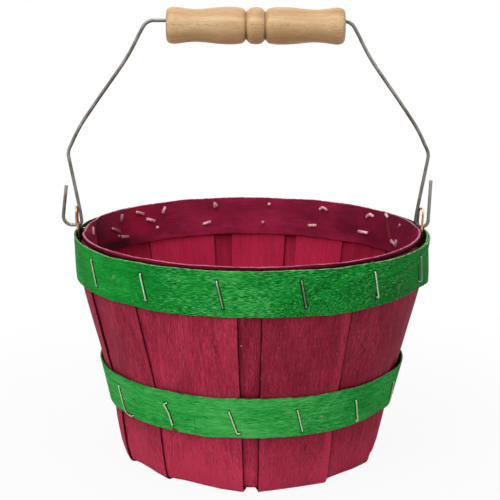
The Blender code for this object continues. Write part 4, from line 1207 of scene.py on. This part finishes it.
def staple_finish():
    """Flattened steel wire with a thin yellowish coat, scuffed bright in places. The clinched
    ends inside the rim are painted pink and pale, as a painted reflection of the red dye round
    them with painted highlights, and darker in two patches."""
    material, shader, start = new_finish("staple_wire_coat", metallic=0.2)
    place = start.spot()
    out = place.part(0) * place.part(0) + place.part(1) * place.part(1)
    inside = out.band(0.01288, 0.01266) * place.part(2).band(0.09, 0.1)
    scuff = place.noise((900.0, 900.0, 500.0), 3.0, 0.6)
    coat = place.noise((38.0, 38.0, 20.0), 2.0)
    shade = coat.band(0.36, 0.5).blend((150, 166, 134), (218, 244, 190))
    worn = place.near(15.4, 137.0, on_hoop, 13.0) * 0.75 + scuff.band(0.54, 0.44) * 0.3
    shade = worn.blend(shade, (112, 108, 92))
    # Painted reflection and highlights: the clinches inside the rim run from pink to pale pink.
    pink_reflection = scuff.band(0.36, 0.6).blend((196, 122, 138), (240, 194, 200))
    dull = place.near(236.0, 139.0, 8.0, 24.0) + place.near(112.0, 144.0, 8.0, 18.0)
    pink_reflection = (dull * 0.65).blend(pink_reflection, (120, 60, 62))
    cover(shader, inside.blend(shade, pink_reflection), 0.3 + scuff * 0.25)
    return material


on_hoop = -(GAP + HOOP_THICK) - 0.5 * STAPLE_WIRE - STAPLE_SEAT
staple_section = rounded_section(STAPLE_WIRE, STAPLE_WIRE * STAPLE_FLAT, 10)
staple_coat = staple_finish()
rim_rods = []
for number, (places, upper_tip, lower_tip) in enumerate(RIM_STAPLES):
    middle = 0.5 * (places[0][0] + places[-1][0])
    bulge = BULGE_R * (1.0 - math.cos(math.radians(0.5 * (places[-1][0] - places[0][0]))))
    seat = on_hoop - bulge - STAPLE_WIRE * float(number == RIDING_STAPLE)
    crown = crown_depths(places, seat, RIM_HOOP_Z, RIM_LAP, RIM_STAND)
    clinch = inner_depth + HOOP_THICK + hoop_climb(middle, INNER_LAP, -1.0) + 0.5 * STAPLE_WIRE
    rim_rods.append(staple_rod(places, (upper_tip, lower_tip), crown, clinch, 70 + number))
rim_staples = solid_rods("rim_staple_wires", rim_rods)
rim_staples.data.materials.append(staple_coat)
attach(rim_staples, "basket")
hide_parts(*["rim_staple_%02d" % (number + 1)
                           for number in range(len(RIM_STAPLES))])

lower_rods = []
for number, places in enumerate(LOWER_CROWNS):
    middle = 0.5 * (places[0][0] + places[-1][0])
    crown = crown_depths(places, on_hoop, LOWER_HOOP_Z, LOWER_LAP, LOWER_STAND)
    layers = 2.0 if has_inner_splint(middle) else 1.0
    clinch = layers * LEVEL + VENEER + 0.5 * STAPLE_WIRE + STAPLE_SEAT
    lower_rods.append(staple_rod(places, ((), ()), crown, clinch, 270 + number))
lower_staples = solid_rods("lower_staple_wires", lower_rods)
lower_staples.data.materials.append(staple_coat)
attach(lower_staples, "basket")
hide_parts(*["lower_staple_%02d" % (number + 1)
                             for number in range(len(LOWER_CROWNS))])

floor_turn = math.radians(FLOOR_STAPLE_TURN)
floor_way = np.array((math.cos(floor_turn), math.sin(floor_turn), 0.0)) * 0.5 * FLOOR_STAPLE_SPAN
stack = LEVEL * (len(OUTER_SPLINTS) + len(INNER_SPLINTS)) - GAP
floor_top = np.array((0.0, 0.0, stack + 0.5 * STAPLE_WIRE + STAPLE_SEAT))
floor_tip = np.array((0.0, 0.0, FLOOR_TIP_Z))
floor_path = round_corners([floor_tip - floor_way, floor_top - floor_way, floor_top + floor_way,
                            floor_tip + floor_way], STAPLE_BEND)
floor_side = np.array((-math.sin(floor_turn), math.cos(floor_turn), 0.0))
floor_staple = solid_rods("floor_staple_wire", [domed_rod(floor_path, 0.5 * STAPLE_WIRE,
                                                          floor_side, staple_section, 2)])
floor_staple.data.materials.append(staple_coat)
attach(floor_staple, "basket")
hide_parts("floor_staple")


# Eyes. Two loops of copper wire that the bail hooks through. Their feet run down between the
# outer hoop and the splints and are held there by the staples.

# A foot lies EYE_SLACK inside the wall's outer radius. A leg has EYE_ROWS points and the arc
# over both legs EYE_ARC_ROWS.
EYE_ROWS = 29
EYE_ARC_ROWS = 25
EYE_WIRE_R = 0.75
EYE_HALF = 3.4
EYE_TOP_Z = 166.7
EYE_FOOT_Z = 129.0
EYE_SLACK = 0.05

# How far each loop stands out from its foot line, by height, and how far it is turned about
# the vertical in degrees, between two heights.
EYE_TURN_Z = (151.0, 157.0)
EYE_LEAN_Z = (144.0, 153.0, 157.0, 167.0)
EYES = (("left", -1.0, (0.0, 0.4, 1.3, 1.4), 0.0), ("right", 1.0, (0.0, -2.1, -2.4, -1.8), 18.0))


def copper_finish():
    """Copper-coloured wire: bright where it rubs, brown and dull where it has tarnished, and
    painted dark on the legs at the back, as painted shade."""
    material, shader, start = new_finish("copper_eye_wire", metallic=1.0)
    place = start.spot()
    tarnish = place.noise((420.0, 420.0, 260.0), 3.0, 0.6)
    shade = tarnish.band(0.46, 0.72).blend((236, 188, 146), (170, 104, 66))
    # Painted shade: the legs at the back are darker.
    back = place.part(1).band(0.0006, 0.0024)
    shade = (back * 0.7).blend(shade, (84, 50, 36))
    cover(shader, shade, 0.26 + tarnish.band(0.4, 0.7) * 0.2)
    return material


copper = copper_finish()
eye_section = rounded_section(2.0 * EYE_WIRE_R, 2.0 * EYE_WIRE_R, 14, 2.0)
rim_x = float(wall_radius(np.array(RIM_HOOP_Z[1]))) - EYE_WIRE_R - EYE_SLACK
foot_x = float(wall_radius(np.array(EYE_FOOT_Z))) - EYE_WIRE_R - EYE_SLACK
for label, hand, lean, twist in EYES:
    straight = np.linspace(EYE_FOOT_Z, EYE_TOP_Z - EYE_HALF, EYE_ROWS, endpoint=False)
    angles = np.linspace(0.0, math.pi, EYE_ARC_ROWS)
    level = np.concatenate((straight, EYE_TOP_Z - EYE_HALF + EYE_HALF * np.sin(angles),
                            straight[::-1]))
    leg = np.full(len(straight), EYE_HALF)
    across = np.concatenate((-leg, -EYE_HALF * np.cos(angles), leg))
    out = np.interp(level, (EYE_FOOT_Z, RIM_HOOP_Z[1]), (foot_x, rim_x))
    out = out + np.interp(level, EYE_LEAN_Z, lean)
    rise = (level - EYE_TURN_Z[0]) / (EYE_TURN_Z[1] - EYE_TURN_Z[0])
    turned = np.radians(twist) * smooth_step(rise)
    path = np.stack((hand * (out - across * np.sin(turned)), across * np.cos(turned), level),
                    axis=-1)
    eye = solid_rods("bail_eye_%s_wire" % label,
                     [domed_rod(path, EYE_WIRE_R, np.array((1.0, 0.02, 0.0)), eye_section)])
    eye.data.materials.append(copper)
    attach(eye, "basket")
    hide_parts("bail_eye_" + label)


# Bail. One length of galvanised wire: straight through the grip, bent down to a shoulder at
# each side, in to the eye, out through it and up again as a short tail.

WIRE_R = 1.15
PIVOT_Z = 154.3
BAIL_TOP_Z = 289.3
SHOULDER_Z = 203.0

# Each side: where its slope starts, how far out the shoulder is, the leg, the tail, the bends
# before and after the eye, then how far the tail leans and how high it ends above the hinge.
# The shapes of slope and neck are shares of the way out and of the way down. The curve through
# them has BAIL_POINTS points from each one to the next, and a bend has HOOK_POINTS.
BAIL_POINTS = 6
HOOK_POINTS = 12
LEFT_SIDE = (62.7, 120.9, 113.2, 125.4, 3.0, 6.0, -2.5, 26.5)
RIGHT_SIDE = (58.3, 116.5, 109.6, 118.0, 4.2, 4.2, 0.9, 31.0)
BAIL_SHAPE = ((0.036, 0.001), (0.082, 0.012), (0.122, 0.035), (0.167, 0.086), (0.333, 0.289),
              (0.650, 0.590), (0.854, 0.791), (0.964, 0.935), (0.990, 0.972), (1.0, 1.0))
NECK_SHAPE = ((0.027, 0.069), (0.240, 0.264), (0.587, 0.575), (0.893, 0.862))


def smooth_run(points, per_span):
    """A curve through points, with the tangent at each one half of the step between its two
    neighbours (a cardinal spline), worked out span by span as whole arrays."""
    points = np.array(points, dtype=float)
    full = np.concatenate((points[:1], points, points[-1:]))
    share = np.linspace(0.0, 1.0, per_span, endpoint=False)[None, :, None]
    p0, p1, p2, p3 = (full[k:len(full) - 3 + k, None] for k in range(4))
    curve = 0.5 * (2.0 * p1 + (p2 - p0) * share
                   + (2.0 * p0 - 5.0 * p1 + 4.0 * p2 - p3) * share ** 2
                   + (3.0 * p1 - p0 - 3.0 * p2 + p3) * share ** 3)
    return np.concatenate((curve.reshape(-1, points.shape[1]), points[-1:]))


def bail_half(side):
    """One side of the bail as points in X and Z, from its straight part outwards: a slope to
    the shoulder, a neck down to the leg, two quarter bends under the eye, and the tail."""
    first, shoulder, leg, tail, near_bend, far_bend, lean, rise = side
    hook_z = PIVOT_Z + near_bend
    run, drop = np.array(BAIL_SHAPE).T
    slope = np.stack((first + (shoulder - first) * run,
                      BAIL_TOP_Z - (BAIL_TOP_Z - SHOULDER_Z) * drop), axis=-1)
    run, drop = np.array(NECK_SHAPE).T
    neck = np.stack((shoulder - (shoulder - leg) * run, SHOULDER_Z - (SHOULDER_Z - hook_z) * drop),
                    axis=-1)
    start = [(first - 2.0, BAIL_TOP_Z), (first, BAIL_TOP_Z)]
    angle = np.linspace(0.0, 0.5 * math.pi, HOOK_POINTS)
    near = np.stack((leg + near_bend * (1.0 - np.cos(angle)),
                     PIVOT_Z + near_bend * (1.0 - np.sin(angle))), axis=-1)
    far = np.stack((tail - far_bend * (1.0 - np.sin(angle)),
                    PIVOT_Z + far_bend * (1.0 - np.cos(angle))), axis=-1)
    path = smooth_run(np.concatenate((start, slope, neck, near[:1])), BAIL_POINTS)
    end = [(tail + 0.5 * lean, PIVOT_Z + 0.5 * (far_bend + rise)), (tail + lean, PIVOT_Z + rise)]
    return np.concatenate((path, near[1:], far[1:], end))


def galvanised_finish():
    """Galvanised wire: dull grey zinc with faint drawing lines and darker handled patches."""
    material, shader, start = new_finish("galvanised_bail_wire", metallic=0.85)
    place = start.spot()
    patch = place.noise((70.0, 70.0, 70.0), 3.0, 0.6)
    grit = place.noise((1600.0, 1600.0, 1600.0), 2.0)
    shade = patch.band(0.36, 0.66).blend((110, 107, 100), (152, 150, 143))
    shade = (grit.band(0.55, 0.75) * 0.35).blend(shade, (78, 75, 68))
    cover(shader, shade, 0.34 + patch * 0.2, grit, 0.3, 0.0001)
    return material


left_half = bail_half(LEFT_SIDE)
right_half = bail_half(RIGHT_SIDE)
whole = np.concatenate((left_half[::-1] * (-1.0, 1.0), [(0.0, BAIL_TOP_Z)], right_half))
bail_path = np.stack((whole[:, 0], np.zeros(len(whole)), whole[:, 1]), axis=-1)
bail_section = rounded_section(2.0 * WIRE_R, 2.0 * WIRE_R, 20, 2.0)
bail = solid_rods("wire_bail_rod",
                  [domed_rod(bail_path, WIRE_R, np.array((0.0, 1.0, 0.0)), bail_section)])
bail.data.materials.append(galvanised_finish())
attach(bail, "bail")
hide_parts("wire_bail")


# Grip. A turned birch handle with a bead between two grooves, bored through for the wire and
# left to spin on it. It is sanded and bare, so it shows its grain and small pores.

# The bore is wider than the wire, so the grip hangs lower than the bail's top. One half of the
# outside and of the bore are given as distances from the middle and radii. The curve through the
# outside has GRIP_POINTS points from each one to the next.
GRIP_POINTS = 7
GRIP_SIDES = 96
GRIP_HALF = 57.6
GRIP_X = 2.2
GRIP_Z = BAIL_TOP_Z - 3.1
BORE_R = 4.5
GRIP_PROFILE = ((0.0, 11.9), (3.0, 11.5), (5.0, 10.2), (6.2, 8.9), (7.5, 10.4), (9.5, 11.4),
                (15.3, 12.0), (24.0, 11.7), (31.0, 10.95), (38.5, 10.45), (45.0, 10.9),
                (52.0, 11.8), (55.2, 11.5), (57.0, 10.3), (57.6, 8.6))
BORE_PROFILE = ((GRIP_HALF, 6.4), (GRIP_HALF - 0.3, BORE_R + 0.2), (GRIP_HALF - 1.0, BORE_R),
                (20.0, BORE_R))
BIRCH_TONES = ((0.2, (176, 134, 84)), (0.5, (203, 165, 118)), (0.8, (224, 190, 148)))


def turned_solid(name, profile, sides):
    """A closed profile of distance along the axis and radius, turned once about the X axis."""
    angle = np.linspace(0.0, 2.0 * math.pi, sides, endpoint=False)[None, :]
    along = profile[:, :1]
    radius = profile[:, 1:]
    points = np.stack(np.broadcast_arrays(along, radius * np.cos(angle), radius * np.sin(angle)),
                      axis=-1)
    index = np.arange(len(profile) * sides).reshape(len(profile), sides)
    below = np.roll(index, -1, axis=0)
    faces = np.stack((index, below, np.roll(below, -1, axis=1), np.roll(index, -1, axis=1)),
                     axis=-1).reshape(-1, 4)
    shifted = points.reshape(-1, 3) + np.array((GRIP_X, 0.0, GRIP_Z))
    return add_mesh(name, shifted * MM, faces.tolist())


def birch_finish():
    """Bare turned birch: honey wood, long grain along the axis, bands of growth, short dark
    pores and rays, and darker in the grooves and round the ends."""
    material, shader, start = new_finish("turned_birch_wood", 0.4)
    place = start.spot()
    ring = place.noise((9.0, 130.0, 130.0), 3.0, 0.55, 0.4)
    fibre = place.noise((70.0, 1300.0, 1300.0), 3.0, 0.6)
    pore = place.noise((330.0, 1700.0, 1700.0), 1.0).band(0.32, 0.26)
    ray = place.noise((300.0, 900.0, 900.0), 2.0).band(0.6, 0.7)
    upright = place.node("ShaderNodeVectorMath", {"operation": "MULTIPLY"},
                         {0: place, 1: (0.0, 1.0, 1.0)})
    from_axis = upright.distance((0.0, 0.0, GRIP_Z * MM))
    from_middle = (place.part(0) - GRIP_X * MM).size()
    # Darker in the grooves and round the ends.
    grime = from_axis.band(0.0101, 0.0090) * from_middle.band(0.012, 0.010)
    grime = grime + from_middle.band(0.0560, 0.0574) * 0.5
    row = (place.part(2) - GRIP_Z * MM - 0.0012).size().band(0.0009, 0.0003)
    dash = row * place.noise((420.0, 0.0, 900.0), 1.0).band(0.5, 0.6)
    dash = dash * place.part(0).band(0.05, 0.048)
    depth = 0.5 + (ring - 0.5) * 1.1 + (fibre - 0.5) * 0.6
    shade = depth.ramp(BIRCH_TONES)
    for factor, tint in ((ray * 0.35, (180, 122, 76)), (pore * 0.3, (134, 88, 50)),
                         (dash * 0.35, (150, 96, 56)), (grime * 0.5, (104, 66, 36))):
        shade = factor.blend(shade, tint)
    cover(shader, shade, 0.46 + (fibre - 0.5) * 0.3, fibre * 0.5 - pore * 0.5, 0.4, 0.0002)
    return material


half = smooth_run(GRIP_PROFILE, GRIP_POINTS)
outer_line = np.concatenate((half[::-1], half[1:] * (-1.0, 1.0)))
bore = np.array(BORE_PROFILE)
bore_line = np.concatenate((bore * (-1.0, 1.0), bore[::-1]))
grip = turned_solid("wood_grip_turned", np.concatenate((outer_line, bore_line)), GRIP_SIDES)
grip.data.materials.append(birch_finish())
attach(grip, "grip")
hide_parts("wood_grip")


# Studio. A plain white table and surround, a large soft lamp high on the left, another one
# straight above and a weak one on the right, and the camera where the photograph was taken from.

# The camera's picture is FRAME_PX wide, and its focal length and the shift of its centre are in
# the same pixels. Its place is in metres, and its pitch and roll in radians. The lamps face a
# point AIM_Z above the table, half the size of which is TABLE_HALF.
AIM_Z = 0.12
TABLE_HALF = 4.0
PURE_WHITE = (1.0, 1.0, 1.0, 1.0)
FRAME_PX = 500.0
SENSOR_MM = 36.0
FOCAL_PX = 1307.42
CENTRE_SHIFT_PX = 1.153
CAMERA_PLACE = (0.0, -0.855322, 0.331982)
CAMERA_PITCH = 0.223367
CAMERA_ROLL = 0.0050559


def soft_lamp(name, place, size, power):
    """A square area lamp that faces the middle of the basket."""
    data = bpy.data.lights.new(name, "AREA")
    data.size = size
    data.energy = power
    lamp = put_in_scene(name, data)
    lamp.location = place
    way = lamp.location.copy()
    way.z -= AIM_Z
    lamp.rotation_euler = way.to_track_quat("Z", "Y").to_euler()


soft_lamp("key_lamp", (-1.0, -1.45, 1.8), 1.4, 26.5)
soft_lamp("top_lamp", (-0.2, -0.3, 2.4), 1.3, 21.0)
soft_lamp("fill_lamp", (1.7, -1.2, 0.9), 1.2, 4.0)

table_corners = [(x * TABLE_HALF, y * TABLE_HALF, 0.0)
                 for x, y in ((-1.0, -1.0), (1.0, -1.0), (1.0, 1.0), (-1.0, 1.0))]
table = add_mesh("white_table", table_corners, [(0, 1, 2, 3)])
table_paint, table_shader, table_dye = new_finish("white_table_paint")
table_shader.inputs["Roughness"].default_value = 0.9
table_shader.inputs["Base Color"].default_value = (0.58, 0.58, 0.58, 1.0)
glow = table_dye.node("ShaderNodeEmission", {}, {"Color": PURE_WHITE})
seen = table_dye.node("ShaderNodeLightPath", {}, {}, 0)
whiteness = 0.93 + table_dye.spot().distance((0.0, 0.0, 0.0)).band(0.14, 0.42) * 0.07
mixed = table_dye.node("ShaderNodeMixShader", {}, {0: seen * whiteness, 2: glow})
table_paint.node_tree.links.new(table_shader.outputs[0], mixed.socket.node.inputs[1])
output = table_paint.node_tree.nodes["Material Output"]
table_paint.node_tree.links.new(mixed.socket, output.inputs["Surface"])
table.data.materials.append(table_paint)

world = bpy.data.worlds.new("white_surround")
bpy.context.scene.world = world
world.use_nodes = True
surround = Dye(world.node_tree, None)
white, soft = (surround.node("ShaderNodeBackground", {}, {"Color": PURE_WHITE, "Strength": power})
               for power in (1.0, 0.42))
camera_ray = surround.node("ShaderNodeLightPath", {}, {}, 0)
ray_node = camera_ray.socket.node
glossy_ray = Dye(world.node_tree, ray_node.outputs["Is Glossy Ray"])
through_ray = Dye(world.node_tree, ray_node.outputs["Is Transmission Ray"])
shown = camera_ray.maths("ADD", camera_ray + glossy_ray, through_ray, clamp=True)
background = surround.node("ShaderNodeMixShader", {}, {0: shown, 1: soft, 2: white})
world.node_tree.links.new(background.socket, world.node_tree.nodes["World Output"].inputs[0])

camera_data = bpy.data.cameras.new("photo_camera")
camera_data.sensor_width = SENSOR_MM
camera_data.lens = FOCAL_PX * SENSOR_MM / FRAME_PX
camera_data.shift_x = -CENTRE_SHIFT_PX / FRAME_PX
camera_data.clip_start = 0.01
camera = put_in_scene("photo_camera", camera_data)
camera.matrix_world = (Matrix.Translation(CAMERA_PLACE)
                       @ Matrix.Rotation(0.5 * math.pi - CAMERA_PITCH, 4, "X")
                       @ Matrix.Rotation(CAMERA_ROLL, 4, "Z"))
bpy.context.scene.camera = camera
bpy.context.scene.view_settings.view_transform = "Standard"
